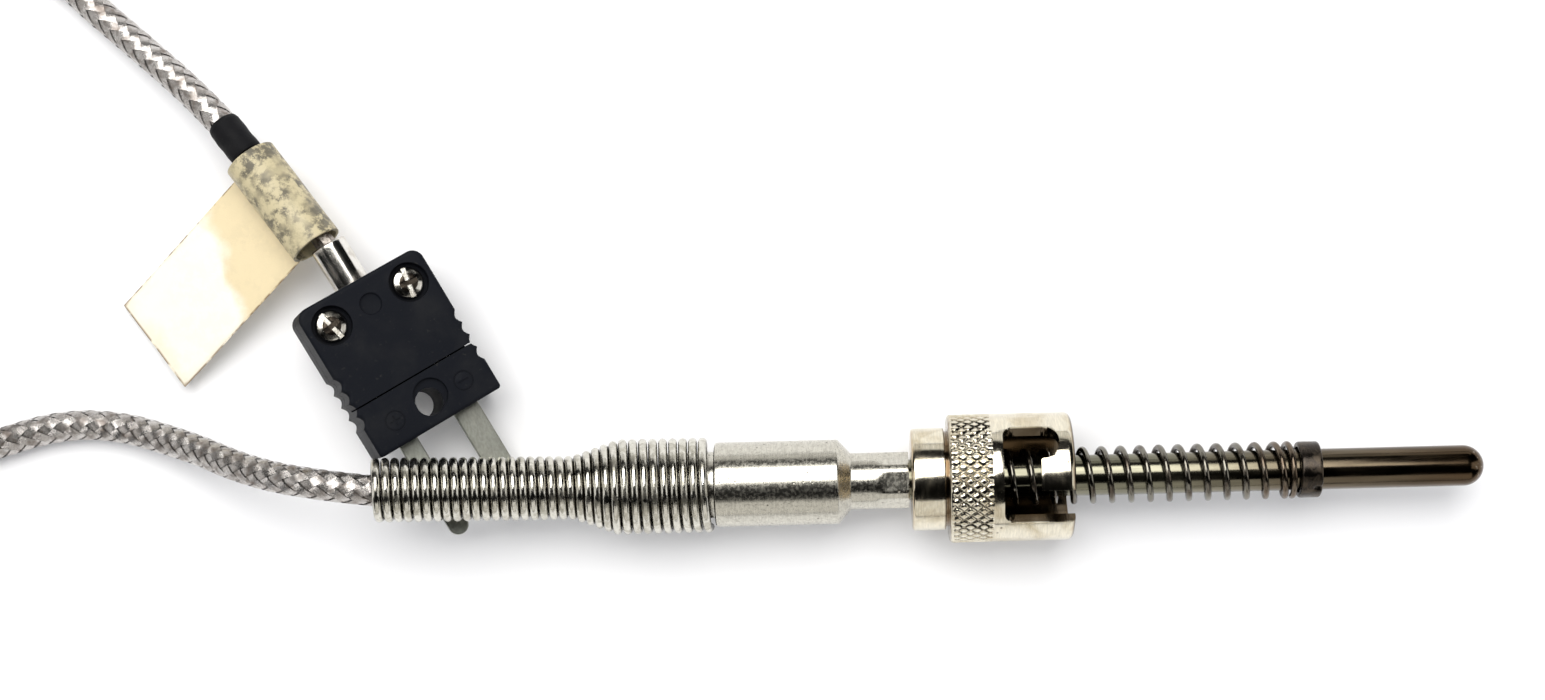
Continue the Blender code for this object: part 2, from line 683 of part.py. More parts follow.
def cable_in_relief(braid):
    """The stretch of lead that the strain relief and the ferrule hold."""
    places = np.linspace(CABLE_FRONT, RELIEF_REAR + GAP, 12)
    points = [relief_axis(x)[0] for x in places]
    cord("cable_in_relief", points, CABLE_D, braid, PROBE)


def coil(braid, tie_plastic):
    """The wound part of the lead as one ring, and the two ties that hold it."""
    low = TIE_THICKNESS + GAP
    high = low + COIL_LAYERS * CABLE_D
    half = COIL_COLUMNS * CABLE_D / 2
    inner = COIL_MEAN_R - half
    outer = COIL_MEAN_R + half
    corner = CABLE_D / 4
    profile = [
        (low, inner + corner),
        (low, outer - corner),
        (low + corner, outer),
        (high - corner, outer),
        (high, outer - corner),
        (high, inner + corner),
        (high - corner, inner),
        (low + corner, inner),
    ]
    place = empty("coil_frame", Matrix.Translation((*COIL_CENTRE, 0.0)))
    finish("cable_coil", turned(profile, ROUND, axis="Z"), braid, place)
    grow = GAP + TIE_THICKNESS
    for number, angle in enumerate(TIE_ANGLES, 1):
        tie_frame = empty(f"tie_frame_{number}", Matrix.Rotation(angle, 4, "Z"))
        tie_frame.parent = place
        levels = []
        for side in (-TIE_WIDTH / 2, TIE_WIDTH / 2):
            for out in (grow, GAP):
                corners = [
                    (inner - out, low - out),
                    (outer + out, low - out),
                    (outer + out, high + out),
                    (inner - out, high + out),
                ]
                levels.append([(r, side, z) for r, z in corners])
        rings = [levels[0], levels[2], levels[3], levels[1]]
        finish(f"coil_tie_{number}", loft(rings, closed=True), tie_plastic, tie_frame, round_piece=False)


def between(start, end):
    """A frame halfway between two points in millimetres, its y axis along the line and its z axis up."""
    first = Vector(start) * MM
    second = Vector(end) * MM
    along = (first - second).normalized()
    across = along.cross(Vector((0, 0, 1))).normalized()
    up = across.cross(along)
    turn = Matrix((across, along, up)).transposed().to_4x4()
    return Matrix.Translation((first + second) / 2) @ turn, (second - first).length


def sleeves(rubber, paper):
    """The heat-shrink sleeve and the wrapped label with its flag, on the lead behind the plug."""
    matrix, length = between(*SHRINK_ENDS)
    shrink_frame = empty("shrink_frame", matrix)
    shrink = pipe(-length / 2, length / 2, SHRINK_ID / 2, SHRINK_OD / 2)
    finish("heat_shrink_sleeve", turned(shrink, SMALL, axis="Y"), rubber, shrink_frame)
    matrix, length = between(*LABEL_ENDS)
    label_frame = empty("label_frame", matrix)
    sleeve = pipe(-length / 2, length / 2, LABEL_ID / 2, LABEL_OD / 2)
    label = finish("label_wrap", turned(sleeve, ROUND, axis="Y"), paper, label_frame)
    root_u = -math.sqrt((LABEL_OD + LABEL_ID) ** 2 / 16 - FLAG_DROP**2)
    flag = []
    for side, skew in ((root_u, 0.0), (-FLAG_LENGTH, FLAG_SKEW)):
        fall = FLAG_DROP + (root_u - side) * math.tan(FLAG_SLOPE)
        ring = [
            (side, edge * FLAG_WIDTH / 2 - skew, -fall + face * FLAG_THICKNESS / 2)
            for edge, face in ((-1, -1), (1, -1), (1, 1), (-1, 1))
        ]
        flag.append(ring)
    boolean(label, loft(flag, closed=False), "UNION")


def plug_outline():
    """The plug seen from above, anticlockwise: rounded cable-end corners and scalloped grips."""
    half = PLUG_WIDTH / 2
    steps = 4 * GRIP_COUNT
    grip = []
    for i in range(steps + 1):
        share = i / steps
        bite = GRIP_DEPTH * abs(math.sin(math.pi * GRIP_COUNT * share))
        grip.append((half - bite, GRIP_START + GRIP_COUNT * GRIP_PITCH * share))
    corner = arc((half - PLUG_CORNER, PLUG_LENGTH - PLUG_CORNER), PLUG_CORNER, 0, 90, 4)
    right = [(half - PLUG_EDGE, 0.0), (half, PLUG_EDGE), *grip, *corner]
    return right + [(-u, v) for u, v in reversed(right)]


def plug_cuts(obj, is_cover):
    """What both halves share: the terminal cavity, the pins' slots, the channel and the screw holes."""
    cavity_u = CAVITY_WIDTH / 2
    over = 2 * PLUG_ABOVE
    if is_cover:
        low = (-cavity_u, CAVITY_START, -over)
        high = (cavity_u, CAVITY_END, CAVITY_DEPTH_ABOVE)
    else:
        low = (-cavity_u, CAVITY_START, -CAVITY_DEPTH_BELOW)
        high = (cavity_u, CAVITY_END, over)
    boolean(obj, block(low, high))
    channel = rod(CAVITY_END - GAP, PLUG_LENGTH + over, CRIMP_TUBE_OD / 2 + GAP)
    boolean(obj, turned(channel, ROUND, axis="Y"))
    for name, side in PIN_SIDES.items():
        u = side * PIN_SPACING / 2
        half = PIN_WIDTHS[name] / 2 + FIT
        thick = PIN_THICKNESS / 2 + FIT
        boolean(obj, block((u - half, -PLUG_WALL, -thick), (u + half, CAVITY_START + GAP, thick)))
    shank = SCREW_SHANK_D / 2 + FIT
    for side in (-1, 1):
        offset = (side * COVER_SCREW_U, COVER_SCREW_V)
        if is_cover:
            seat = PLUG_ABOVE - COUNTERBORE_DEPTH
            profile = [
                (-over, 0.0),
                (-over, shank),
                (seat, shank),
                (seat, COUNTERBORE_D / 2),
                (over, COUNTERBORE_D / 2),
                (over, 0.0),
            ]
        else:
            profile = rod(-PLUG_BELOW + 2 * PLUG_EDGE, over, shank)
        boolean(obj, turned(profile, ROUND if is_cover else SMALL, axis="Z", offset=offset))


def plug_shells(plastic):
    """The plug's base, with its full-height front block, and the cover over the terminals."""
    reach = PLUG_LENGTH
    base = finish(
        "plug_base",
        prism(plug_outline(), -PLUG_BELOW, PLUG_ABOVE, PLUG_EDGE),
        plastic,
        PLUG,
        round_piece=False,
    )
    split = FRONT_BLOCK - FIT / 2
    boolean(base, block((-reach, split, -FIT / 2), (reach, 2 * reach, reach)))
    plug_cuts(base, is_cover=False)
    hole = rod(-reach, reach, KEY_HOLE_D / 2)
    boolean(base, turned(hole, ROUND, axis="Z", offset=(0.0, KEY_HOLE_V)))
    cover = finish(
        "plug_cover",
        prism(plug_outline(), -PLUG_BELOW, PLUG_ABOVE, PLUG_EDGE),
        plastic,
        PLUG,
        round_piece=False,
    )
    boolean(cover, block((-reach, -reach, -reach), (reach, 2 * reach, FIT / 2)))
    boolean(cover, block((-reach, -reach, -reach), (reach, FRONT_BLOCK + FIT / 2, reach)))
    plug_cuts(cover, is_cover=True)
    dimple = rod(PLUG_ABOVE - DIMPLE_DEPTH, reach, DIMPLE_D / 2)
    boolean(cover, turned(dimple, ROUND, axis="Z", offset=(0.0, COVER_SCREW_V)))


def pin(name, metal):
    """A flat blade with a round end, and inside the plug a wider tab with the terminal screw's hole."""
    side = PIN_SIDES[name]
    u = side * PIN_SPACING / 2
    half = PIN_WIDTHS[name] / 2
    tab = TAB_WIDTH / 2
    shoulder = CAVITY_START + 2 * GAP
    right = [(u + x, y) for x, y in arc((0, half - PIN_LENGTH), half, -90, 0, 5)]
    right += [(u + half, shoulder), (u + tab, shoulder), (u + tab, TAB_END)]
    left = [(2 * u - x, y) for x, y in reversed(right[1:])]
    levels = [[(x, y, face * PIN_THICKNESS / 2) for x, y in right + left] for face in (-1, 1)]
    bm = loft(levels, closed=False)
    obj = finish(f"pin_{name}", bm, metal, PLUG, round_piece=False)
    hole = rod(-PLUG_BELOW, PLUG_ABOVE, SCREW_SHANK_D / 2 + FIT)
    boolean(obj, turned(hole, SMALL, axis="Z", offset=(u, TERMINAL_SCREW_V)))


def screw(name, u, v, seat, length, metal):
    """A screw with a domed head, a cross slot and a plain shank, standing on its seat."""
    head = SCREW_HEAD_D / 2
    top = seat + SCREW_HEAD_HEIGHT
    shank = SCREW_SHANK_D / 2
    profile = [
        (seat - length, 0.0),
        (seat - length, shank),
        (seat, shank),
        (seat, head),
        (top - SCREW_HEAD_HEIGHT / 2, head),
        (top, SCREW_CROWN_D / 2),
        (top, 0.0),
    ]
    obj = finish(name, turned(profile, ROUND, axis="Z", offset=(u, v)), metal, PLUG)
    half = SCREW_DRIVE_WIDTH / 2
    floor = top - SCREW_DRIVE_DEPTH
    boolean(obj, block((u - half, v - head - GAP, floor), (u + half, v + head + GAP, top + GAP)))
    cross = SCREW_CROSS_LENGTH / 2
    boolean(obj, block((u - cross, v - half, floor), (u + cross, v + half, top + GAP)))


def plug_fittings(steel, alloys, braid, tube_metal):
    """The pins, the screws, the two conductors, the crimped tube and the core of the lead."""
    pins_top = PIN_THICKNESS / 2
    for name, side in PIN_SIDES.items():
        u = side * PIN_SPACING / 2
        pin(name, alloys[name])
        depth = CAVITY_DEPTH_BELOW + pins_top
        screw(f"terminal_screw_{name}", u, TERMINAL_SCREW_V, pins_top + FIT, depth, steel)
        seat = PLUG_ABOVE - COUNTERBORE_DEPTH + FIT
        length = seat + PLUG_BELOW - 3 * PLUG_EDGE
        screw(f"cover_screw_{name}", side * COVER_SCREW_U, COVER_SCREW_V, seat, length, steel)
        head_edge = TERMINAL_SCREW_V + SCREW_HEAD_D / 2 + GAP
        w = pins_top + GAP + CONDUCTOR_D / 2
        route = np.array(
            (
                (side * CONDUCTOR_D, CAVITY_END + CONDUCTOR_D / 2, w / 2),
                (u / 2, CAVITY_END - CONDUCTOR_D, w),
                (u, head_edge + CONDUCTOR_D / 2, w),
            )
        )
        points = smooth_route(route / MM, 2 * CONDUCTOR_D)
        cord(f"conductor_{name}", points, CONDUCTOR_D, alloys[name], PLUG)
    inner_end = CAVITY_END + CABLE_D / 2
    tube_end = PLUG_LENGTH + CRIMP_TUBE_SHOWN
    tube = pipe(inner_end, tube_end, CRIMP_TUBE_ID / 2, CRIMP_TUBE_OD / 2)
    finish("crimp_tube", turned(tube, ROUND, axis="Y"), tube_metal, PLUG)
    inside = [PLUG_MATRIX @ Vector((0, v, 0)) / MM for v in (inner_end, PLUG_LENGTH, tube_end)]
    label_start, label_end = LABEL_ENDS
    label_middle = [(a + b) / 2 for a, b in zip(label_start, label_end)]
    route = [SHRINK_ENDS[0], SHRINK_ENDS[1], label_middle, *reversed(inside)]
    cord("lead_core", smooth_route(route, CABLE_D), CORE_D, braid)


clear_scene()

steel = material("bright_steel", (0.60, 0.59, 0.57), 0.28, 1.0)
satin = material("satin_steel", (0.52, 0.51, 0.49), 0.42, 1.0)
spring_steel = material("dark_spring_steel", (0.26, 0.23, 0.20), 0.38, 1.0)
tinted = material("heat_tinted_steel", (0.36, 0.29, 0.23), 0.32, 1.0)
nickel = material("nickel_plate", (0.66, 0.63, 0.55), 0.22, 1.0)
braid = material("steel_braid", (0.42, 0.39, 0.37), 0.45, 0.9)
positive_alloy = material("positive_alloy", (0.38, 0.39, 0.37), 0.45, 1.0)
negative_alloy = material("negative_alloy", (0.46, 0.45, 0.40), 0.45, 1.0)
ceramic = material("ceramic", (0.85, 0.83, 0.78), 0.6, 0.0)
resin = material("potting_resin", (0.12, 0.10, 0.09), 0.4, 0.0)
black_plastic = material("black_plastic", (0.02, 0.02, 0.022), 0.45, 0.0)
black_rubber = material("black_heat_shrink", (0.02, 0.02, 0.02), 0.6, 0.0)
paper = material("yellowed_label", (0.80, 0.72, 0.52), 0.7, 0.0)
alloys = {"positive": positive_alloy, "negative": negative_alloy}

PROBE = empty("probe_axis", probe_frame(0.0))
CAP_SLIDE = empty("cap_slide_axis", probe_frame(0.0))
CAP_SPIN = empty("cap_spin_axis", probe_frame(0.0))
PLUG_TURN = (
    Matrix.Rotation(PLUG_YAW, 4, "Z")
    @ Matrix.Rotation(PLUG_PITCH, 4, "X")
    @ Matrix.Rotation(PLUG_ROLL, 4, "Y")
)
PLUG_MATRIX = Matrix.Translation(PLUG_PLACE) @ PLUG_TURN
PLUG = empty("plug_frame", PLUG_MATRIX)

sheath_tube(tinted)
sheath_inside(ceramic, alloys, steel)
retaining_ring(spring_steel)
compression_spring(spring_steel)
bayonet_cap(nickel)
transition_ferrule(satin, resin)
strain_relief(steel)
cable_in_relief(braid)
cord("cable_lead_in", smooth_route(LEAD_IN_ROUTE), CABLE_D, braid)
coil(braid, black_plastic)
cord("cable_lead_out", smooth_route(LEAD_OUT_ROUTE), CABLE_D, braid)
sleeves(black_rubber, paper)
plug_shells(black_plastic)
plug_fittings(steel, alloys, braid, nickel)
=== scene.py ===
"""Visible pieces of a spring-loaded bayonet thermocouple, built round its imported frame.

The probe lies along +X at the height of the cap's radius. Its lead leaves the strain relief towards
-X, runs down to the floor, is wound in a coil and comes back to the two-pin plug. Every length is in
metres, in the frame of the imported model.
"""

import json
import logging
import math
from collections.abc import Callable, Sequence
from dataclasses import dataclass, field
from enum import Enum

import bmesh
import bpy
import numpy as np
from mathutils import Matrix, Vector

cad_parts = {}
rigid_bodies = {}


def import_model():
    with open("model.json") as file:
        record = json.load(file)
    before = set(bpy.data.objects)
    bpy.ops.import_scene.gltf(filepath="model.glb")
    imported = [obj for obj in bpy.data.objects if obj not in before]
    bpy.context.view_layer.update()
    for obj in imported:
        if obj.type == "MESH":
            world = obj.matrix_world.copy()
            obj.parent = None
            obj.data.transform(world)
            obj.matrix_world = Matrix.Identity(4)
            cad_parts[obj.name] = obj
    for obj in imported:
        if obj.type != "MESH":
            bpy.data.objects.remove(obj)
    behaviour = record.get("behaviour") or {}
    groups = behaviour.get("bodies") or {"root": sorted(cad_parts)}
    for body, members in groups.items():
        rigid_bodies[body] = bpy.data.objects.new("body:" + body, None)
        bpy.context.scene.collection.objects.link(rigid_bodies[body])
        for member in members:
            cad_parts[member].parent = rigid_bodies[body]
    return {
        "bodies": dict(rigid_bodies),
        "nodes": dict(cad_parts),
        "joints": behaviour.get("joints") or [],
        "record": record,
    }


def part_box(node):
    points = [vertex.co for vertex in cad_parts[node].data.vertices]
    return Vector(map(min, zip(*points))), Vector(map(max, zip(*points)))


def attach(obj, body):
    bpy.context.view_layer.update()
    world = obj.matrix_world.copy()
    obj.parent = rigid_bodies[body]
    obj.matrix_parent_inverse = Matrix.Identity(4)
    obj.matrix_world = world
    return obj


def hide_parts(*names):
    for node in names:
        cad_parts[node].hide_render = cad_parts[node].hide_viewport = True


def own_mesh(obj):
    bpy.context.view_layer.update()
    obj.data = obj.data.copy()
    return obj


LOG = logging.getLogger("thermocouple")
MM = 0.001
TURN = 2 * math.pi
AXIS_Z = 7.5 * MM
PROBE = "probe"

Array = np.ndarray
Pair = tuple[float, float]
Triple = tuple[float, float, float]
Colour = Triple
Socket = bpy.types.NodeSocket
Material = bpy.types.Material
Piece = bpy.types.Object


class Direction(Enum):
    """Which way a braid ribbon winds round the lead."""

    RIGHT = 1
    LEFT = -1


class Side(Enum):
    """The plug's two poles, by the side of the plug that each is on."""

    POSITIVE = -1
    NEGATIVE = 1

    @property
    def label(self) -> str:
        """The pole's name in piece names."""
        return self.name.lower()


# ---------------------------------------------------------------- shapes


@dataclass
class Shape:
    """A surface as arrays.

    points holds one row for each point, faces one array for each number of corners, and values up to
    three numbers that each point carries to its material.
    """

    points: Array
    faces: list[Array]
    values: Array | None = None

    def volume(self) -> float:
        """Six times the enclosed volume: the sum of the triple products of fans over the faces.

        Returns:
            The volume six times, negative when the faces point inwards.
        """
        total = 0.0
        for group in self.faces:
            corners = self.points[group]
            for k in range(1, group.shape[1] - 1):
                turned = np.cross(corners[:, k], corners[:, k + 1])
                total += float(np.einsum("ij,ij->", corners[:, 0], turned))
        return total

    def outward(self) -> "Shape":
        """The same shape with its faces pointing out, as a positive volume shows.

        Returns:
            The shape.
        """
        if self.volume() < 0:
            self.faces = [group[:, ::-1] for group in self.faces]
        return self

    def placed(self, matrix: Array) -> "Shape":
        """The shape moved by a 4x4 matrix.

        Args:
            matrix: the place, with the new axes as its columns.

        Returns:
            The moved shape.
        """
        self.points = self.points @ matrix[:3, :3].T + matrix[:3, 3]
        return self

    def mesh(self, name: str, sharp_degrees: float) -> bpy.types.Mesh:
        """The shape as a smooth-shaded mesh.

        Args:
            name: the mesh's name.
            sharp_degrees: edges that turn by more than this stay sharp.

        Returns:
            The mesh.
        """
        made = bpy.data.meshes.new(name)
        corners = np.concatenate([group.ravel() for group in self.faces])
        counts = np.concatenate([np.full(len(group), group.shape[1]) for group in self.faces])
        made.vertices.add(len(self.points))
        made.vertices.foreach_set("co", self.points.astype(np.float32).ravel())
        made.loops.add(len(corners))
        made.loops.foreach_set("vertex_index", corners.astype(np.int32))
        made.polygons.add(len(counts))
        starts = np.concatenate([[0], np.cumsum(counts)[:-1]])
        made.polygons.foreach_set("loop_start", starts.astype(np.int32))
        made.update(calc_edges=True)
        if self.values is not None:
            carried = made.attributes.new("carried", "FLOAT_VECTOR", "POINT")
            carried.data.foreach_set("vector", self.values.astype(np.float32).ravel())
        made.validate()
        made.shade_smooth()
        made.set_sharp_from_angle(angle=math.radians(sharp_degrees))
        return made


def by_size(faces: Sequence[Array]) -> list[Array]:
    """The faces as one array for each number of corners.

    Args:
        faces: arrays of faces.

    Returns:
        The merged arrays, the fewest corners first.
    """
    sizes = sorted({group.shape[1] for group in faces})
    return [np.vstack([g for g in faces if g.shape[1] == size]) for size in sizes]


def joined(shapes: Sequence[Shape]) -> Shape:
    """Several closed shapes as one.

    Args:
        shapes: the shapes, all with carried values or all without.

    Returns:
        One shape with the points and faces of all.
    """
    offset = 0
    faces = []
    for shape in shapes:
        faces += [group + offset for group in shape.faces]
        offset += len(shape.points)
    values = None if shapes[0].values is None else np.vstack([s.values for s in shapes])
    return Shape(np.vstack([s.points for s in shapes]), by_size(faces), values)


def grid(points: Array, loop: bool = False, poles: Sequence[Array | None] = (None, None),
         values: Array | None = None) -> Shape:
    """A closed skin over a grid of points, rows by columns, whose columns go round.

    Quad (i, j) joins rows i and i + 1 and columns j and j + 1, and the last column joins the first.

    Args:
        points: an array of rows, columns and 3.
        loop: joins the last row to the first; otherwise each end is closed.
        poles: the point that closes each end with a fan, or None for one flat face.
        values: up to three numbers for each point, rows by columns by 3.

    Returns:
        The closed shape, faces outwards.
    """
    rows, columns = points.shape[:2]
    index = np.arange(rows * columns).reshape(rows, columns)
    first = index if loop else index[:-1]
    second = np.roll(index, -1, axis=0) if loop else index[1:]
    quads = [first, np.roll(first, -1, 1), np.roll(second, -1, 1), second]
    faces = [np.stack(quads, axis=-1).reshape(-1, 4)]
    cloud = [points.reshape(-1, 3)]
    carried = None if values is None else [values.reshape(-1, 3)]
    if not loop:
        for end, (row, pole) in enumerate(zip((index[0][::-1], index[-1]), poles)):
            if pole is None:
                faces.append(row[None, :])
                continue
            tip = sum(len(part) for part in cloud)
            cloud.append(np.asarray(pole, float)[None, :])
            if carried is not None:
                carried.append(values[0 if end == 0 else -1].mean(axis=0)[None, :])
            fan = np.stack([row, np.roll(row, -1), np.full(columns, tip)], axis=-1)
            faces.append(fan)
    kept = None if carried is None else np.vstack(carried)
    return Shape(np.vstack(cloud), by_size(faces), kept).outward()


def fillet(corners: Sequence[Triple], closed: bool = False, steps: int = 4) -> Array:
    """A line of flat points with its corners rounded.

    A corner of radius r between directions d1 and d2 becomes an arc about the point at r / sin(half the
    corner's angle) along d1 + d2, and the arc is a spherical blend between its two ends.

    Args:
        corners: each corner's two places and its radius.
        closed: whether the line comes back to its start.
        steps: how many parts each arc has.

    Returns:
        The rounded line, one row for each point.
    """
    places = np.array([corner[:2] for corner in corners], float)
    count = len(places)
    line = []
    for i, (_, _, radius) in enumerate(corners):
        here = places[i]
        if radius <= 0 or (not closed and i in (0, count - 1)):
            line.append(here[None, :])
            continue
        back = places[i - 1] - here
        on = places[(i + 1) % count] - here
        back /= np.linalg.norm(back)
        on /= np.linalg.norm(on)
        half = math.acos(np.clip(back @ on, -1, 1)) / 2
        middle = here + (back + on) / np.linalg.norm(back + on) * radius / math.sin(half)
        start = here + back * radius / math.tan(half) - middle
        end = here + on * radius / math.tan(half) - middle
        sweep = math.pi - 2 * half
        share = np.linspace(0, 1, steps + 1)[:, None]
        arc = (np.sin((1 - share) * sweep) * start + np.sin(share * sweep) * end) / math.sin(sweep)
        line.append(middle + arc)
    return np.vstack(line)


def densify(line: Array, step: float) -> Array:
    """The line with points added, so that none of its parts is longer than the step.

    Args:
        line: its points, one to a row.
        step: the longest part allowed.

    Returns:
        The denser line.
    """
    lengths = np.linalg.norm(np.diff(line, axis=0), axis=1)
    counts = np.maximum(1, np.ceil(lengths / step - 1e-6)).astype(int)
    parts = [np.linspace(a, b, n, endpoint=False) for a, b, n in zip(line, line[1:], counts)]
    return np.vstack([*parts, line[-1:]])


def revolve(profile: Array, sides: int, reach: Callable[[Array, Array, Array], Array] | None = None,
            centre: Callable[[Array], Array] | None = None) -> Shape:
    """A profile turned about the x axis.

    The point at column angle a is (x, -r sin a, r cos a). A profile that starts and ends on the axis is
    solid, and any other is closed into a tube.

    Args:
        profile: rows of (x, radius).
        sides: the number of columns.
        reach: the radius as a function of x, the angle and the profile's radius.
        centre: how far the axis is off, as rows of (y, z) for rows of x.

    Returns:
        The closed shape, in its own frame.
    """
    solid = profile[0, 1] == 0
    rows = profile[1:-1] if solid else profile
    angle = np.arange(sides) * TURN / sides
    x, a = np.meshgrid(rows[:, 0], angle, indexing="ij")
    r = np.repeat(rows[:, 1:], sides, axis=1)
    if reach is not None:
        r = reach(x, a, r)
    points = np.stack([x, -r * np.sin(a), r * np.cos(a)], axis=-1)
    if centre is not None:
        points[:, :, 1:] += centre(rows[:, 0])[:, None, :]
    if not solid:
        return grid(points, loop=True)
    ends = [np.array([end, 0.0, 0.0]) for end in (profile[0, 0], profile[-1, 0])]
    return grid(points, poles=ends)


def raised(outline: Array, levels: Sequence[Pair], shrink: bool = False) -> Shape:
    """An outline in the (x, y) plane raised through levels, drawn in at each.

    Args:
        outline: rows of (x, y), anticlockwise and closed.
        levels: each level's height and how far the outline is drawn in there.
        shrink: draws it in towards the middle of its box; otherwise along its normals.

    Returns:
        The closed shape.
    """
    on = np.roll(outline, -1, axis=0) - np.roll(outline, 1, axis=0)
    normal = np.stack([on[:, 1], -on[:, 0]], axis=1)
    normal /= np.linalg.norm(normal, axis=1)[:, None]
    if shrink:
        low, high = outline.min(axis=0), outline.max(axis=0)
        normal = (outline - (low + high) / 2) / ((high - low) / 2)
    rows = []
    for height, inset in levels:
        flat = outline - normal * inset
        rows.append(np.column_stack([flat, np.full(len(flat), height)]))
    return grid(np.array(rows))


def edge_levels(low: float, high: float, radius: float, steps: int = 4) -> list[Pair]:
    """Levels from low to high whose two edges are quarter rounds of the radius, each in a flat rim.

    Args:
        low: the bottom's height.
        high: the top's.
        radius: the rounding.
        steps: how many parts each round has.

    Returns:
        Each level's height and how far it is drawn in.
    """
    angle = np.linspace(0, math.pi / 2, steps + 1)
    inset = radius * (1 - np.sin(angle))
    rise = radius * (1 - np.cos(angle))
    flat = radius * 1.6
    bottom = [(low, flat), *((low + h, i) for h, i in zip(rise, inset))]
    top = [*((high - h, i) for h, i in zip(rise[::-1], inset[::-1])), (high, flat)]
    return bottom + top


def rectangle(low: Sequence[float], high: Sequence[float],
              radius: float = 0.0) -> list[Triple]:
    """A rectangle's corners for fillet, anticlockwise from the low one.

    Args:
        low: the corner with the lowest places, whose first two numbers count.
        high: the opposite corner.
        radius: the rounding of every corner.

    Returns:
        The four corners.
    """
    return [(low[0], low[1], radius), (high[0], low[1], radius), (high[0], high[1], radius),
            (low[0], high[1], radius)]


def box_shape(low: Sequence[float], high: Sequence[float]) -> Shape:
    """A block between two corners, used as a cutter."""
    rows = [[(x, y, z) for x, y, _ in rectangle(low, high)] for z in (low[2], high[2])]
    return grid(np.array(rows, float))


def band_corners(ends: Pair, radii: Pair,
                 edges: Pair) -> list[Triple]:
    """The section of a turned band, as corners for fillet.

    Args:
        ends: where it starts and ends along its axis.
        radii: its inner and its outer radius.
        edges: the rounding of its inner and its outer corners.

    Returns:
        The four corners: the place along the axis, the radius and the rounding.
    """
    low, high = ends
    inner, outer = zip(radii, edges)
    return [(low, *inner), (low, *outer), (high, *outer), (high, *inner)]


def closed_profile(corners: Sequence[Triple], step: float) -> Array:
    """A closed section for revolve, with its corners rounded.

    Args:
        corners: each corner's two places and its radius.
        step: the longest that any part of the line may be.

    Returns:
        The section's points, the first not repeated.
    """
    line = fillet(corners, closed=True)
    return densify(np.vstack([line, line[:1]]), step)[:-1]


def edges_beyond(axis: int, limit: float) -> Callable[[bmesh.types.BMEdge], bool]:
    """A test for the edges that lie wholly beyond a limit.

    Args:
        axis: 0, 1 or 2, for x, y or z.
        limit: the place that both of an edge's points have to be beyond.

    Returns:
        The test.
    """

    def beyond(edge: bmesh.types.BMEdge) -> bool:
        """Whether both points of an edge are beyond the limit."""
        return min(v.co[axis] for v in edge.verts) > limit

    return beyond


def frames_along(path: Array) -> tuple[Array, Array, Array]:
    """Directions across, up and along a path: across is along x Z, and up is across x along.

    Args:
        path: its points, one to a row.

    Returns:
        The three directions, one row for each point.
    """
    along = np.gradient(path, axis=0)
    along /= np.linalg.norm(along, axis=1)[:, None]
    across = np.cross(along, (0.0, 0.0, 1.0))
    across /= np.linalg.norm(across, axis=1)[:, None]
    return across, np.cross(across, along), along


def tube(path: Array, radius: Array, sides: int) -> Shape:
    """A round tube along a path: centre + radius (cos a across + sin a up), for every column angle a.

    Args:
        path: the centre line.
        radius: the radius at each of its points.
        sides: the number of columns.

    Returns:
        The closed tube, whose points carry zeros.
    """
    across, up, _ = frames_along(path)
    angle = np.arange(sides) * TURN / sides
    ring = np.cos(angle)[None, :, None] * across[:, None] + np.sin(angle)[None, :, None] * up[:, None]
    points = path[:, None] + radius[:, None, None] * ring
    values = np.zeros_like(points)
    return grid(points, values=values)


def wound(angles: Array, centres: Array, first: Array, second: Array, along: Array, radii: Array,
          wire: float, sides: int) -> Shape:
    """A round wire wound about a line.

    The wire's middle is centre + radius (cos a first + sin a second). Its section lies in the plane of
    that outward direction and the line's direction.

    Args:
        angles: the winding angle at each ring.
        centres: the line's point at each ring.
        first: a direction across the line at each ring.
        second: the other direction across.
        along: the line's direction.
        radii: the winding radius at each ring.
        wire: the wire's diameter.
        sides: the number of columns round the wire.

    Returns:
        The closed wire, whose points carry 1 where they face outwards and -1 where they face the line.
    """
    outward = np.cos(angles)[:, None] * first + np.sin(angles)[:, None] * second
    middle = centres + radii[:, None] * outward
    turn = np.arange(sides) * TURN / sides
    ring = np.cos(turn)[None, :, None] * outward[:, None] + np.sin(turn)[None, :, None] * along[:, None]
    values = np.zeros_like(ring)
    values[:, :, 0] = np.cos(turn)
    return grid(middle[:, None] + wire / 2 * ring, values=values)


def through(points: Array, dense: int = 16) -> Array:
    """Points along the Catmull-Rom curve through the given points.

    Between p1 and p2 the curve is half of 2 p1 + (p2 - p0) t + (2 p0 - 5 p1 + 4 p2 - p3) t^2 +
    (3 p1 - p0 - 3 p2 + p3) t^3.

    Args:
        points: the points that the curve passes.
        dense: how many parts each gap is divided in.

    Returns:
        The curve's points.
    """
    ends = np.vstack([2 * points[0] - points[1], points, 2 * points[-1] - points[-2]])
    p0, p1, p2, p3 = (ends[i:len(ends) - 3 + i, None] for i in range(4))
    t = np.linspace(0, 1, dense, endpoint=False)[None, :, None]
    curve = 2 * p1 + (p2 - p0) * t + (2 * p0 - 5 * p1 + 4 * p2 - p3) * t**2
    curve = 0.5 * (curve + (3 * p1 - p0 - 3 * p2 + p3) * t**3)
    return np.vstack([curve.reshape(-1, points.shape[1]), points[-1:]])


def run_along(path: Array) -> Array:
    """The distance along a path at each of its points."""
    return np.concatenate([[0.0], np.cumsum(np.linalg.norm(np.diff(path, axis=0), axis=1))])


def at_runs(path: Array, places: Array) -> Array:
    """The path's points at these distances along it."""
    run = run_along(path)
    return np.column_stack([np.interp(places, run, path[:, i]) for i in range(3)])


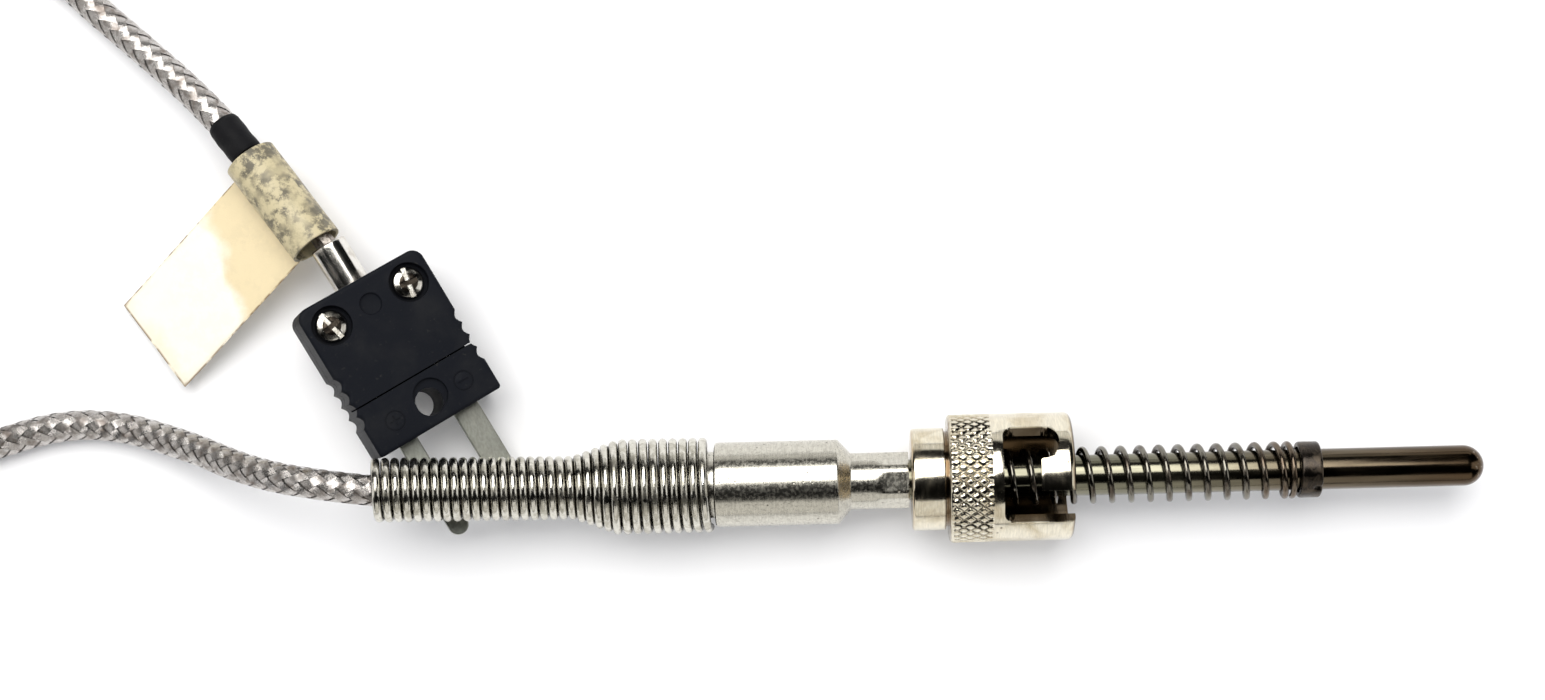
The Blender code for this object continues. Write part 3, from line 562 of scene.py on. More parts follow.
def axes(origin: Sequence[float], x: Sequence[float], y: Sequence[float], z: Sequence[float]) -> Array:
    """A 4x4 matrix with these axes as its columns.

    Args:
        origin: where the new frame is.
        x: its x axis.
        y: its y axis.
        z: its z axis.

    Returns:
        The matrix.
    """
    matrix = np.eye(4)
    matrix[:3, 0], matrix[:3, 1], matrix[:3, 2], matrix[:3, 3] = x, y, z, origin
    return matrix


def smooth(share: Array) -> Array:
    """A soft step from 0 to 1: 3 s^2 - 2 s^3 of the share held between 0 and 1."""
    held = np.clip(share, 0, 1)
    return held * held * (3 - 2 * held)


ON_PROBE = axes((0, 0, AXIS_Z), (1, 0, 0), (0, 1, 0), (0, 0, 1))
UPRIGHT = axes((0, 0, 0), (0, 0, 1), (1, 0, 0), (0, 1, 0))
LENGTHWAYS = axes((0, 0, 0), (0, 1, 0), (-1, 0, 0), (0, 0, 1))


# ---------------------------------------------------------------- materials


class Graph:
    """A material's node tree, with short ways to add what a finish needs."""

    def __init__(self, name: str) -> None:
        """Starts a material that has only its shader and its output.

        Args:
            name: the material's name.
        """
        self.material = bpy.data.materials.new(name)
        self.material.use_nodes = True
        self.tree = self.material.node_tree
        self.shader = self.tree.nodes["Principled BSDF"]

    def add(self, kind: str, **settings: object) -> bpy.types.Node:
        """A new node with these properties.

        Args:
            kind: the node's type.
            settings: its properties.

        Returns:
            The node.
        """
        node = self.tree.nodes.new(kind)
        for key, value in settings.items():
            setattr(node, key, value)
        return node

    def plug(self, socket: Socket, value: object) -> None:
        """Links a socket, or sets its own value when the value isn't a socket.

        Args:
            socket: the input.
            value: another node's socket, a colour or a number.
        """
        if isinstance(value, Socket):
            self.tree.links.new(value, socket)
        elif isinstance(value, tuple) and len(value) == 3 and socket.type == "RGBA":
            socket.default_value = (*value, 1.0)
        else:
            socket.default_value = value

    def place(self, stretch: Triple = (1, 1, 1)) -> Socket:
        """Object coordinates, stretched.

        Args:
            stretch: the scale along each axis.

        Returns:
            The socket.
        """
        mapping = self.add("ShaderNodeMapping")
        mapping.inputs["Scale"].default_value = stretch
        self.plug(mapping.inputs["Vector"], self.add("ShaderNodeTexCoord").outputs["Object"])
        return mapping.outputs["Vector"]

    def carried(self) -> tuple[Socket, ...]:
        """The three numbers that the mesh's points carry."""
        return self.split(self.add("ShaderNodeAttribute", attribute_name="carried").outputs["Vector"])

    def parts(self) -> tuple[Socket, ...]:
        """The x, y and z of the Object coordinates."""
        return self.split(self.place())

    def split(self, vector: Socket) -> tuple[Socket, ...]:
        """The three numbers of a vector.

        Args:
            vector: the vector.

        Returns:
            The three sockets.
        """
        node = self.add("ShaderNodeSeparateXYZ")
        self.plug(node.inputs[0], vector)
        return tuple(node.outputs)

    def noise(self, scale: float, detail: float = 4.0, stretch: Triple = (1, 1, 1),
              rough: float = 0.55, distort: float = 0.0) -> Socket:
        """Noise on the Object coordinates, from 0 to 1.

        Args:
            scale: how fine it is, per metre.
            detail: how many octaves.
            stretch: the scale along each axis.
            rough: how strong the octaves stay.
            distort: how far it is swirled.

        Returns:
            The socket.
        """
        node = self.add("ShaderNodeTexNoise")
        for key, value in (("Scale", scale), ("Detail", detail), ("Roughness", rough),
                           ("Distortion", distort)):
            node.inputs[key].default_value = value
        self.plug(node.inputs["Vector"], self.place(stretch))
        return node.outputs[0]

    def math(self, operation: str, first: object, second: object = 0.0) -> Socket:
        """One arithmetic step.

        Args:
            operation: the node's operation.
            first: its first value.
            second: its second, where it takes one.

        Returns:
            The socket.
        """
        node = self.add("ShaderNodeMath", operation=operation)
        self.plug(node.inputs[0], first)
        self.plug(node.inputs[1], second)
        return node.outputs[0]

    def ramp(self, value: object, low: float, high: float, start: float = 0.0,
             end: float = 1.0) -> Socket:
        """The value's place between low and high, carried to start and end and held there.

        Args:
            value: what is mapped.
            low: where the step starts.
            high: where it ends.
            start: the result below.
            end: the result above.

        Returns:
            The socket.
        """
        node = self.add("ShaderNodeMapRange", interpolation_type="SMOOTHSTEP")
        self.plug(node.inputs["Value"], value)
        for key, number in (("From Min", low), ("From Max", high), ("To Min", start), ("To Max", end)):
            node.inputs[key].default_value = number
        return node.outputs["Result"]

    def blend(self, share: object, first: object, second: object) -> Socket:
        """A colour between two.

        Args:
            share: 0 for the first and 1 for the second.
            first: a colour.
            second: the other colour.

        Returns:
            The socket.
        """
        node = self.add("ShaderNodeMix", data_type="RGBA")
        self.plug(node.inputs[0], share)
        self.plug(node.inputs[6], first)
        self.plug(node.inputs[7], second)
        return node.outputs[2]

    def bump(self, height: object, distance: float) -> Socket:
        """Normals tilted by a height, which is distance tall.

        Args:
            height: the height, from 0 to 1.
            distance: how tall 1 is, in metres.

        Returns:
            The socket.
        """
        node = self.add("ShaderNodeBump")
        node.inputs["Distance"].default_value = distance
        self.plug(node.inputs["Height"], height)
        return node.outputs[0]

    def times(self, first: object, second: object) -> Socket:
        """One value times another."""
        return self.math("MULTIPLY", first, second)

    def done(self, colour: object, roughness: object, normal: object, metallic: float,
             **fixed: float) -> Material:
        """Connects the shader and gives the material.

        Args:
            colour: the base colour.
            roughness: the roughness.
            normal: the normal, or None for the surface's own.
            metallic: 1 for a metal and 0 for anything else.
            fixed: other shader values, by the socket's name with _ for a space.

        Returns:
            The material.
        """
        self.plug(self.shader.inputs["Base Color"], colour)
        self.plug(self.shader.inputs["Roughness"], roughness)
        if normal is not None:
            self.plug(self.shader.inputs["Normal"], normal)
        self.shader.inputs["Metallic"].default_value = metallic
        for key, value in fixed.items():
            self.shader.inputs[key.replace("_", " ")].default_value = value
        return self.material


@dataclass(frozen=True)
class Band:
    """A stain round a turned piece: where along the probe it is, how wide, its colour and strength."""

    middle: float
    half: float
    colour: Colour
    strength: float = 1.0


@dataclass(frozen=True)
class Metal:
    """A worn metal: two tones in patches, fine grain, dark pits, scratches and stains round it, and painted
    shade where set: between the turns of a wound wire and inside a hollow piece.
    """

    name: str
    clean: Colour
    stained: Colour
    roughness: Pair
    patches: float = 350.0
    patch_edge: Pair = (0.42, 0.66)
    grain: float = 9000.0
    grain_stretch: Triple = (1.0, 1.0, 1.0)
    grain_depth: float = 0.004 * MM
    pits: float = 0.0
    bands: tuple[Band, ...] = ()
    # The next three fields paint shade: darker faces between the turns of a wound wire, a darker inside of a
    # hollow piece, and the tone of that painted shade.
    crevice_shade: Pair | None = None
    hollow_shade: Pair | None = None
    painted_shade: Colour = (0.05, 0.038, 0.028)

    def build(self) -> Material:
        """Patches choose between the two tones; grain moves roughness and normal; pits darken; painted shade
        darkens crevices and hollows where set.

        Returns:
            The material.
        """
        graph = Graph(self.name)
        patch = graph.ramp(graph.noise(self.patches, 6.0, distort=0.4), *self.patch_edge)
        colour = graph.blend(patch, self.clean, self.stained)
        grain = graph.noise(self.grain, 3.0, self.grain_stretch)
        tone = graph.ramp(grain, 0.3, 0.75, 0.86, 1.08)
        colour = self.scaled(graph, colour, tone)
        x = graph.parts()[0]
        for band in self.bands:
            waver = graph.times(graph.noise(900.0, 3.0), band.half)
            off = graph.math("ABSOLUTE", graph.math("SUBTRACT", x, band.middle))
            near = graph.ramp(graph.math("ADD", off, waver), band.half * 0.6, band.half * 1.5, 1.0, 0.0)
            colour = graph.blend(graph.times(near, band.strength), colour, band.colour)
        rough = graph.ramp(graph.math("ADD", graph.times(patch, 0.6),
                                      graph.times(grain, 0.4)), 0.1, 0.8, *self.roughness)
        height = grain
        if self.pits:
            spots = graph.add("ShaderNodeTexVoronoi")
            spots.inputs["Scale"].default_value = self.pits
            graph.plug(spots.inputs["Vector"], graph.place())
            where = graph.ramp(graph.noise(self.pits * 0.35, 2.0), 0.55, 0.66)
            hole = graph.times(graph.ramp(spots.outputs["Distance"], 0.12, 0.26, 1.0, 0.0), where)
            colour = graph.blend(graph.times(hole, 0.8), colour, (0.07, 0.05, 0.035))
            height = graph.math("SUBTRACT", height, graph.times(hole, 2.0))
        # Painted shade: the faces of a wound wire that turn away from the outside, between its turns and
        # towards its line, go dark.
        if self.crevice_shade:
            facing = graph.math("ADD", graph.carried()[0], graph.times(grain, 0.25))
            colour = graph.blend(graph.ramp(facing, *self.crevice_shade, 0.92, 0.0), colour, self.painted_shade)
        # Painted shade: the inside of the hollow cap and its knurl's grooves go dark, from 2.5 to 2.8 mm
        # along onwards.
        if self.hollow_shade:
            inside = graph.times(self.near_axis(graph), graph.ramp(x, 2.5 * MM, 2.8 * MM))
            colour = graph.blend(inside, colour, self.painted_shade)
        normal = graph.bump(height, self.grain_depth)
        return graph.done(colour, rough, normal, 1.0)

    def near_axis(self, graph: Graph) -> Socket:
        """How much painted shade a point inside a hollow piece gets: 1 nearer the probe's axis than the first
        of the two shade radii.

        Args:
            graph: the material's nodes.

        Returns:
            The socket.
        """
        _, y, z = graph.parts()
        up = graph.math("SUBTRACT", z, AXIS_Z)
        square = graph.math("ADD", graph.times(y, y), graph.times(up, up))
        radius = graph.math("SQRT", square)
        return graph.ramp(radius, self.hollow_shade[0], self.hollow_shade[1], 0.93, 0.0)

    @staticmethod
    def scaled(graph: Graph, colour: object, tone: object) -> Socket:
        """A colour times a tone.

        Args:
            graph: the material's nodes.
            colour: the colour.
            tone: what it is times.

        Returns:
            The socket.
        """
        node = graph.add("ShaderNodeVectorMath", operation="SCALE")
        graph.plug(node.inputs[0], colour)
        graph.plug(node.inputs["Scale"], tone)
        return node.outputs[0]


@dataclass(frozen=True)
class Dull:
    """A plastic, rubber, resin or ceramic: a tone with cloudy variation, a fine grain and pale scuffs."""

    name: str
    colour: Colour
    scuffed: Colour
    roughness: Pair
    gloss: float = 0.5
    grain: float = 7000.0
    grain_depth: float = 0.01 * MM
    scuffs: Pair = (0.60, 0.74)
    scuff_stretch: Triple = (1.0, 1.0, 1.0)

    def build(self) -> Material:
        """Scuffs are where stretched noise is high; they're paler and rougher.

        Returns:
            The material.
        """
        graph = Graph(self.name)
        cloud = graph.noise(260.0, 5.0)
        scuff = graph.ramp(graph.noise(1500.0, 6.0, self.scuff_stretch, 0.65), *self.scuffs)
        grain = graph.noise(self.grain, 2.0)
        share = graph.math("MAXIMUM", graph.times(scuff, 0.7),
                           graph.ramp(cloud, 0.4, 0.9, 0.0, 0.35))
        colour = graph.blend(share, self.colour, self.scuffed)
        rough = graph.ramp(graph.math("ADD", cloud, scuff), 0.35, 1.2, *self.roughness)
        normal = graph.bump(grain, self.grain_depth)
        return graph.done(colour, rough, normal, 0.0, Specular_IOR_Level=self.gloss)


@dataclass(frozen=True)
class HeatTint:
    """The sheath's steel, tinted by heat: bronze towards the tip, greenish behind, rubbed on the dome."""

    name: str = "tinted sheath steel"
    tip: Colour = (0.085, 0.056, 0.032)
    middle: Colour = (0.115, 0.092, 0.062)
    behind: Colour = (0.20, 0.192, 0.14)
    rubbed: Colour = (0.40, 0.36, 0.30)
    tip_from: float = 46.0 * MM
    dome_from: float = 62.6 * MM

    def build(self) -> Material:
        """The tint follows x with noise on it, and streaks run along the sheath.

        Returns:
            The material.
        """
        graph = Graph(self.name)
        x = graph.parts()[0]
        streak = graph.noise(1400.0, 5.0, (0.08, 1.0, 1.0))
        cloud = graph.noise(240.0, 5.0, (0.6, 1.0, 1.0))
        moved = graph.math("ADD", x, graph.times(cloud, 0.012))
        colour = graph.blend(graph.ramp(moved, 0.030, 0.052), self.behind, self.middle)
        colour = graph.blend(graph.ramp(moved, 0.054, 0.071), colour, self.tip)
        colour = Metal.scaled(graph, colour, graph.ramp(streak, 0.3, 0.7, 0.72, 1.15))
        speck = graph.ramp(graph.noise(2600.0, 4.0), 0.57, 0.68)
        on_dome = graph.times(graph.ramp(x, self.dome_from, 65.2 * MM), speck)
        colour = graph.blend(on_dome, colour, self.rubbed)
        rough = graph.ramp(graph.math("ADD", streak, cloud), 0.6, 1.4, 0.10, 0.26)
        return graph.done(colour, rough, graph.bump(streak, 0.003 * MM), 1.0)


@dataclass(frozen=True)
class Braid:
    """Fine plated wires lying side by side in each ribbon of the braid, with painted shade between the wires
    and on the dark base tube under the ribbons.
    """

    name: str = "steel braid wires"
    bright: Colour = (0.74, 0.71, 0.68)
    brown: Colour = (0.26, 0.215, 0.185)
    wires: float = 5.0
    depth: float = 0.012 * MM

    def build(self) -> Material:
        """Each point carries its place across the ribbon, its run along it and the ribbon's number; the
        colour is darkened between the wires as painted shade.

        Returns:
            The material.
        """
        graph = Graph(self.name)
        across, along, number = graph.carried()
        wave = graph.math("SINE", graph.times(across, self.wires * math.pi))
        ridge = graph.ramp(graph.math("ABSOLUTE", wave), 0.0, 0.8)
        mottle = graph.noise(900.0, 4.0)
        tone = graph.math("FRACT", graph.times(graph.math("SINE", number), 43.7))
        share = graph.math("ADD", graph.ramp(mottle, 0.44, 0.70, 0.0, 0.70),
                           graph.times(tone, 0.25))
        colour = graph.blend(share, self.bright, self.brown)
        # Painted shade: the colour falls to a quarter between the wires, and over the base tube, whose points
        # carry zeros.
        colour = Metal.scaled(graph, colour, graph.ramp(ridge, 0.0, 1.0, 0.25, 1.0))
        rough = graph.ramp(mottle, 0.3, 0.8, 0.20, 0.38)
        return graph.done(colour, rough, graph.bump(ridge, self.depth), 1.0)


@dataclass(frozen=True)
class Paper:
    """A yellowed label: cream where it is wrapped, whiter on the flag, smudged, browner at its corners."""

    name: str = "yellowed label paper"
    wrap: Colour = (0.50, 0.43, 0.26)
    inner: Colour = (0.72, 0.60, 0.37)
    flag: Colour = (0.86, 0.82, 0.70)
    smudge: Colour = (0.055, 0.050, 0.038)
    corner: Colour = (0.16, 0.09, 0.035)

    def build(self) -> Material:
        """Each point carries its place along the flag and across it.

        Returns:
            The material.
        """
        graph = Graph(self.name)
        along, across, _ = graph.carried()
        cloud = graph.noise(260.0, 6.0)
        waver = graph.times(graph.math("SUBTRACT", cloud, 0.5), 0.22)
        tilted = graph.math("ADD", along, graph.times(across, 0.10))
        inner = graph.blend(graph.ramp(along, 0.015, 0.045), self.wrap, self.inner)
        colour = graph.blend(graph.ramp(graph.math("ADD", tilted, waver), 0.36, 0.46), inner, self.flag)
        blot = graph.ramp(graph.noise(230.0, 3.0, rough=0.6), 0.38, 0.54, 0.25, 1.0)
        smudge = graph.ramp(graph.noise(700.0, 8.0, rough=0.75), 0.42, 0.56)
        near = graph.ramp(along, 0.0, 0.10, 0.85, 0.06)
        smudge = graph.times(smudge, blot)
        colour = graph.blend(graph.times(smudge, near), colour, self.smudge)
        edge = graph.math("ABSOLUTE", across)
        line = graph.math("MAXIMUM", graph.ramp(edge, 0.965, 0.99), graph.ramp(along, 0.985, 0.998))
        rough_edge = graph.times(line, graph.ramp(graph.noise(600.0, 4.0), 0.40, 0.55))
        halves = graph.math("ADD", graph.times(edge, 0.5), graph.times(along, 0.5))
        worn = graph.math("MAXIMUM", graph.ramp(halves, 0.95, 1.0), rough_edge)
        brown = graph.ramp(graph.math("ADD", graph.math("MAXIMUM", edge, along), waver), 0.90, 1.0, 0.0, 0.35)
        colour = graph.blend(brown, colour, self.inner)
        colour = graph.blend(graph.times(worn, 0.85), colour, self.corner)
        fibre = graph.noise(5200.0, 4.0)
        normal = graph.bump(fibre, 0.02 * MM)
        return graph.done(colour, graph.ramp(cloud, 0.3, 0.7, 0.38, 0.6), normal, 0.0)


# The plated cap's nickel: its last two settings paint shade inside the cap and in the knurl's grooves.
NICKEL = Metal(
    "plated cap nickel", (0.74, 0.69, 0.56), (0.54, 0.46, 0.31), (0.12, 0.24), patches=300.0,
    patch_edge=(0.40, 0.78), pits=1300.0, grain=7000.0, grain_stretch=(1.0, 0.10, 0.10),
    grain_depth=0.006 * MM, hollow_shade=(7.22 * MM, 7.44 * MM), painted_shade=(0.075, 0.052, 0.030),
    bands=(
        Band(2.2 * MM, 0.5 * MM, (0.13, 0.085, 0.045)),
        Band(17.0 * MM, 0.75 * MM, (0.36, 0.24, 0.12), 0.8),
        Band(-2.0 * MM, 0.5 * MM, (0.40, 0.28, 0.15), 0.7),
    ),
)
SATIN = Metal(
    "satin ferrule steel", (0.58, 0.56, 0.49), (0.50, 0.48, 0.42), (0.20, 0.32), patches=2600.0,
    grain=6500.0, grain_stretch=(1.0, 0.12, 0.12), grain_depth=0.012 * MM, pits=1500.0,
)
# Painted shade darkens the relief wire between its turns.
RELIEF_STEEL = Metal(
    "bright relief steel", (0.66, 0.64, 0.57), (0.46, 0.44, 0.37), (0.14, 0.30), patches=900.0,
    grain=5200.0, grain_depth=0.010 * MM, crevice_shade=(0.30, 0.90), painted_shade=(0.035, 0.028, 0.022),
)
# Painted shade darkens the spring wire between its turns; its band is a stain.
SPRING_STEEL = Metal(
    "dark spring steel", (0.20, 0.19, 0.16), (0.11, 0.09, 0.07), (0.14, 0.30), patches=420.0,
    grain=7000.0, bands=(Band(42.0 * MM, 6.0 * MM, (0.12, 0.08, 0.05), 0.6),), crevice_shade=(0.1, 0.6),
)
RING_STEEL = Metal(
    "dark ring steel", (0.045, 0.038, 0.032), (0.10, 0.08, 0.06), (0.24, 0.42), patches=800.0,
    grain=12000.0, grain_stretch=(1.0, 0.06, 0.06),
)
WASHER_STEEL = Metal(
    "bright washer steel", (0.60, 0.57, 0.50), (0.34, 0.28, 0.21), (0.20, 0.36), patches=600.0,
    grain=12000.0, grain_stretch=(0.2, 1.0, 1.0),
)
SCREW_STEEL = Metal(
    "bright screw steel", (0.70, 0.68, 0.62), (0.50, 0.47, 0.41), (0.12, 0.24), patches=900.0, pits=2400.0,
)
# The screws' recess: a dark steel that is painted shade in the recess.
SHADED_RECESS_STEEL = Metal(
    "shaded recess steel", (0.055, 0.045, 0.035), (0.02, 0.016, 0.013), (0.25, 0.45), patches=1800.0,
)
TUBE_NICKEL = Metal(
    "crimp tube nickel", (0.78, 0.76, 0.71), (0.56, 0.52, 0.46), (0.14, 0.26), patches=500.0, pits=1800.0,
)
ALLOYS = {
    side: Metal(
        f"{side.label} blade alloy", clean, stained, (0.28, 0.42), patches=300.0,
        patch_edge=(0.30, 0.80), grain=10000.0, grain_stretch=(0.2, 0.2, 1.0), grain_depth=0.006 * MM,
    )
    for side, clean, stained in (
        (Side.POSITIVE, (0.36, 0.37, 0.33), (0.25, 0.26, 0.23)),
        (Side.NEGATIVE, (0.43, 0.43, 0.38), (0.31, 0.32, 0.28)),
    )
}
CORE_BRAID = Metal(
    "core braid steel", (0.42, 0.38, 0.34), (0.16, 0.13, 0.11), (0.30, 0.50), patches=2200.0,
    grain=6000.0, grain_depth=0.05 * MM,
)
PLUG_PLASTIC = Dull(
    "black plug plastic", (0.006, 0.007, 0.010), (0.030, 0.029, 0.027), (0.46, 0.66), gloss=0.06,
    grain=5200.0, grain_depth=0.012 * MM,
)
TIE_PLASTIC = Dull("black tie plastic", (0.014, 0.014, 0.015), (0.06, 0.06, 0.06), (0.34, 0.5))
SHRINK_RUBBER = Dull(
    "black shrink sleeve", (0.007, 0.007, 0.008), (0.035, 0.033, 0.030), (0.55, 0.75), gloss=0.08,
    grain=3000.0, grain_depth=0.03 * MM,
)
CERAMIC = Dull("white insulator ceramic", (0.82, 0.80, 0.74), (0.60, 0.56, 0.48), (0.5, 0.7))
RESIN = Dull("dark potting resin", (0.03, 0.022, 0.016), (0.10, 0.08, 0.06), (0.25, 0.45))


# ---------------------------------------------------------------- pieces


@dataclass
class Workshop:
    """What every sub-assembly needs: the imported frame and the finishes, each built once."""

    frame: dict
    built: dict[str, Material] = field(default_factory=dict)

    def material(self, finish: Metal | Dull | HeatTint | Braid | Paper) -> Material:
        """The material of a finish.

        Args:
            finish: the finish.

        Returns:
            Its material, the same one each time.
        """
        if finish.name not in self.built:
            self.built[finish.name] = finish.build()
        return self.built[finish.name]

    def piece(self, name: str, shape: Shape, finish: object, slot: str, nodes: Sequence[str],
              body: str = PROBE, sharp: float = 38.0) -> Piece:
        """Makes a shape a finished piece.

        Args:
            name: the piece's name.
            shape: its closed shape, in the frame's metres.
            finish: its finish.
            slot: the record's material slot; not used.
            nodes: the CAD nodes that it stands for.
            body: the body that it rides on.
            sharp: edges that turn by more than these degrees stay sharp.

        Returns:
            The object.
        """
        made = bpy.data.objects.new(name, shape.mesh(name, sharp))
        made.data.materials.append(self.material(finish))
        bpy.context.scene.collection.objects.link(made)
        self.settle(made, nodes, body)
        return made

    def settle(self, made: Piece, nodes: Sequence[str], body: str) -> None:
        """Gives a piece its body, hides the CAD nodes that it stands for, and reports it.

        Args:
            made: the piece.
            nodes: the CAD nodes that it stands for.
            body: the body that it rides on.
        """
        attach(made, body)
        if nodes:
            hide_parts(*nodes)
        LOG.info("%s: %d faces, on %s", made.name, len(made.data.polygons), body)

    def cut(self, name: str, shape: Shape, cutters: Sequence[Shape], sharp: float = 38.0,
            bevel: Callable[[bmesh.types.BMEdge], bool] | None = None,
            width: float = 0.0) -> Piece:
        """A shape with others cut from it, as an object whose mesh is the result.

        Args:
            name: the object's name.
            shape: the closed shape to cut.
            cutters: closed shapes to take away.
            sharp: edges that turn by more than these degrees stay sharp.
            bevel: which of the sharp edges are rounded.
            width: how wide the rounding is.

        Returns:
            The linked object, with no material yet.
        """
        scene = bpy.context.scene.collection.objects
        made = bpy.data.objects.new(name, shape.mesh(name, sharp))
        scene.link(made)
        helpers = []
        for number, cutter in enumerate(cutters):
            helper = bpy.data.objects.new(f"{name}_cutter_{number}", cutter.mesh(f"{name}_cutter", sharp))
            scene.link(helper)
            helpers.append(helper)
            modifier = made.modifiers.new(f"cut_{number}", "BOOLEAN")
            modifier.operation = "DIFFERENCE"
            modifier.solver = "EXACT"
            modifier.object = helper
        bpy.context.view_layer.update()
        depsgraph = bpy.context.evaluated_depsgraph_get()
        mesh = bpy.data.meshes.new_from_object(made.evaluated_get(depsgraph))
        made.modifiers.clear()
        made.data = mesh
        for helper in helpers:
            bpy.data.objects.remove(helper, do_unlink=True)
        form = bmesh.new()
        form.from_mesh(mesh)
        bmesh.ops.remove_doubles(form, verts=form.verts, dist=0.002 * MM)
        if bevel is not None:
            limit = math.radians(sharp)
            edges = [e for e in form.edges
                     if len(e.link_faces) == 2 and e.calc_face_angle() > limit and bevel(e)]
            bmesh.ops.bevel(form, geom=edges, offset=width, segments=2, profile=0.5, affect="EDGES",
                            clamp_overlap=True)
        form.to_mesh(mesh)
        form.free()
        mesh.shade_smooth()
        mesh.set_sharp_from_angle(angle=math.radians(sharp))
        even = made.modifiers.new("even_normals", "WEIGHTED_NORMAL")
        even.keep_sharp = True
        return made

    def dress(self, node: str, finish: object) -> None:
        """Gives a CAD node that stays its finish.

        Args:
            node: the node's name.
            finish: the finish.
        """
        mesh = self.frame["nodes"][node].data
        mesh.materials.clear()
        mesh.materials.append(self.material(finish))

    def finish_cut(self, made: Piece, finish: object, slot: str, nodes: Sequence[str],
                   body: str = PROBE, inside: object = None) -> Piece:
        """Gives a cut object its finish, and another one inside its recesses, and settles it.

        Args:
            made: the cut object.
            finish: its finish.
            slot: the record's material slot; not used.
            nodes: the CAD nodes that it stands for.
            body: the body that it rides on.
            inside: the recesses' finish, if another.

        Returns:
            The object.
        """
        made.data.materials.append(self.material(finish))
        if inside is not None:
            made.data.materials.append(self.material(inside))
        self.settle(made, nodes, body)
        return made


@dataclass
class Sheath:
    """The probe's sheath, the ring that stops the spring, the spring itself and what is inside."""

    shop: Workshop
    sides: int = 64
    wall: float = 0.5 * MM
    tip_wall: float = 1.2 * MM
    ring_inner: float = 2.7 * MM
    notch_depth: float = 0.32 * MM
    notch_half: float = math.radians(9)
    notch_at: float = math.radians(40)
    wire: float = 0.75 * MM
    wire_sides: int = 12
    turn_steps: int = 48
    turns: float = 18.3
    closed_pitch: float = 0.85 * MM
    phase: float = math.radians(70)
    keep: float = 0.49
    pole: float = 0.02 * MM
    rear_chamfer: float = 0.15 * MM
    ring_edges: Pair = (0.08 * MM, 0.28 * MM)
    ring_columns: int = 160
    notch_from: float = 1.2 * MM
    notch_run: float = 0.8 * MM

    def build(self) -> None:
        """Builds every piece of the sheath and dresses the nodes inside it."""
        self.tube()
        self.ring()
        self.spring()
        shop = self.shop
        shop.dress("ceramic_insulator", CERAMIC)
        shop.dress("measuring_junction", SCREW_STEEL)
        for side in Side:
            for node in ("thermoelement", "lead_wire"):
                shop.dress(f"{node}_{side.label}", ALLOYS[side])
            shop.dress(f"splice_{side.label}", TUBE_NICKEL)

    def tube(self) -> None:
        """The sheath: a tube whose front end is a dome, outside and inside."""
        low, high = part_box("sheath_tube")
        radius = (high[1] - low[1]) / 2
        inner = radius - self.wall
        angle = np.linspace(0, math.pi / 2, 17)
        dome = np.column_stack([high[0] - radius + radius * np.sin(angle), radius * np.cos(angle)])
        dome[-1, 1] = self.pole
        bore_tip = high[0] - self.tip_wall
        bore = np.column_stack([bore_tip - inner + inner * np.sin(angle[::-2]), inner * np.cos(angle[::-2])])
        bore[0, 1] = self.pole
        chamfer = self.rear_chamfer
        rear = [(low[0], inner), (low[0], radius - chamfer), (low[0] + chamfer, radius)]
        profile = np.vstack([bore, rear, dome])
        shape = revolve(profile, self.sides).placed(ON_PROBE)
        self.shop.piece("probe_sheath", shape, HeatTint(), "heat_tinted_steel", ["sheath_tube"])

    def ring(self) -> None:
        """The stop ring: a chamfered band with one small notch in its front edge."""
        low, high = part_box("retaining_ring")
        outer = (high[1] - low[1]) / 2
        corners = band_corners((low[0], high[0]), (self.ring_inner, outer), self.ring_edges)
        profile = densify(fillet(corners, closed=True), 0.2 * MM)

        def notched(x: Array, a: Array, r: Array) -> Array:
            """The radius, drawn in at the notch by soft steps round the ring and along it.

            Args:
                x: places along the probe.
                a: column angles.
                r: the profile's radii.

            Returns:
                The notched radii.
            """
            near = 1 - smooth(np.abs((a - self.notch_at + math.pi) % TURN - math.pi) / self.notch_half)
            front = smooth((x - low[0] - self.notch_from) / self.notch_run)
            return r - self.notch_depth * near * front * (r > self.ring_inner + 0.1 * MM)

        shape = revolve(profile, self.ring_columns, notched).placed(ON_PROBE)
        self.shop.piece("stop_ring", shape, RING_STEEL, "dark_spring_steel", ["retaining_ring"])

    def spring(self) -> None:
        """The compression spring: open turns, with one closed turn at each end."""
        low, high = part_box("compression_spring")
        start = low[0] + self.wire / 2
        end = high[0] - self.wire / 2
        radius = (high[2] - low[2] - self.wire) / 2
        count = np.linspace(0, self.turns, round(self.turns * self.turn_steps) + 1)
        closed = self.closed_pitch
        knots = [0, 1, self.turns - 1, self.turns]
        places = np.interp(count, knots, [start, start + closed, end - closed, end])
        zero = np.zeros_like(places)
        centres = np.column_stack([places, zero, zero + AXIS_Z])
        fixed = [np.tile(v, (len(places), 1)).astype(float) for v in ((0, 1, 0), (0, 0, 1), (1, 0, 0))]
        shape = wound(self.phase + TURN * count, centres, *fixed, zero + radius, self.wire, self.wire_sides)
        made = self.shop.piece("loaded_spring", shape, SPRING_STEEL, "dark_spring_steel",
                               ["compression_spring"])
        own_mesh(made)


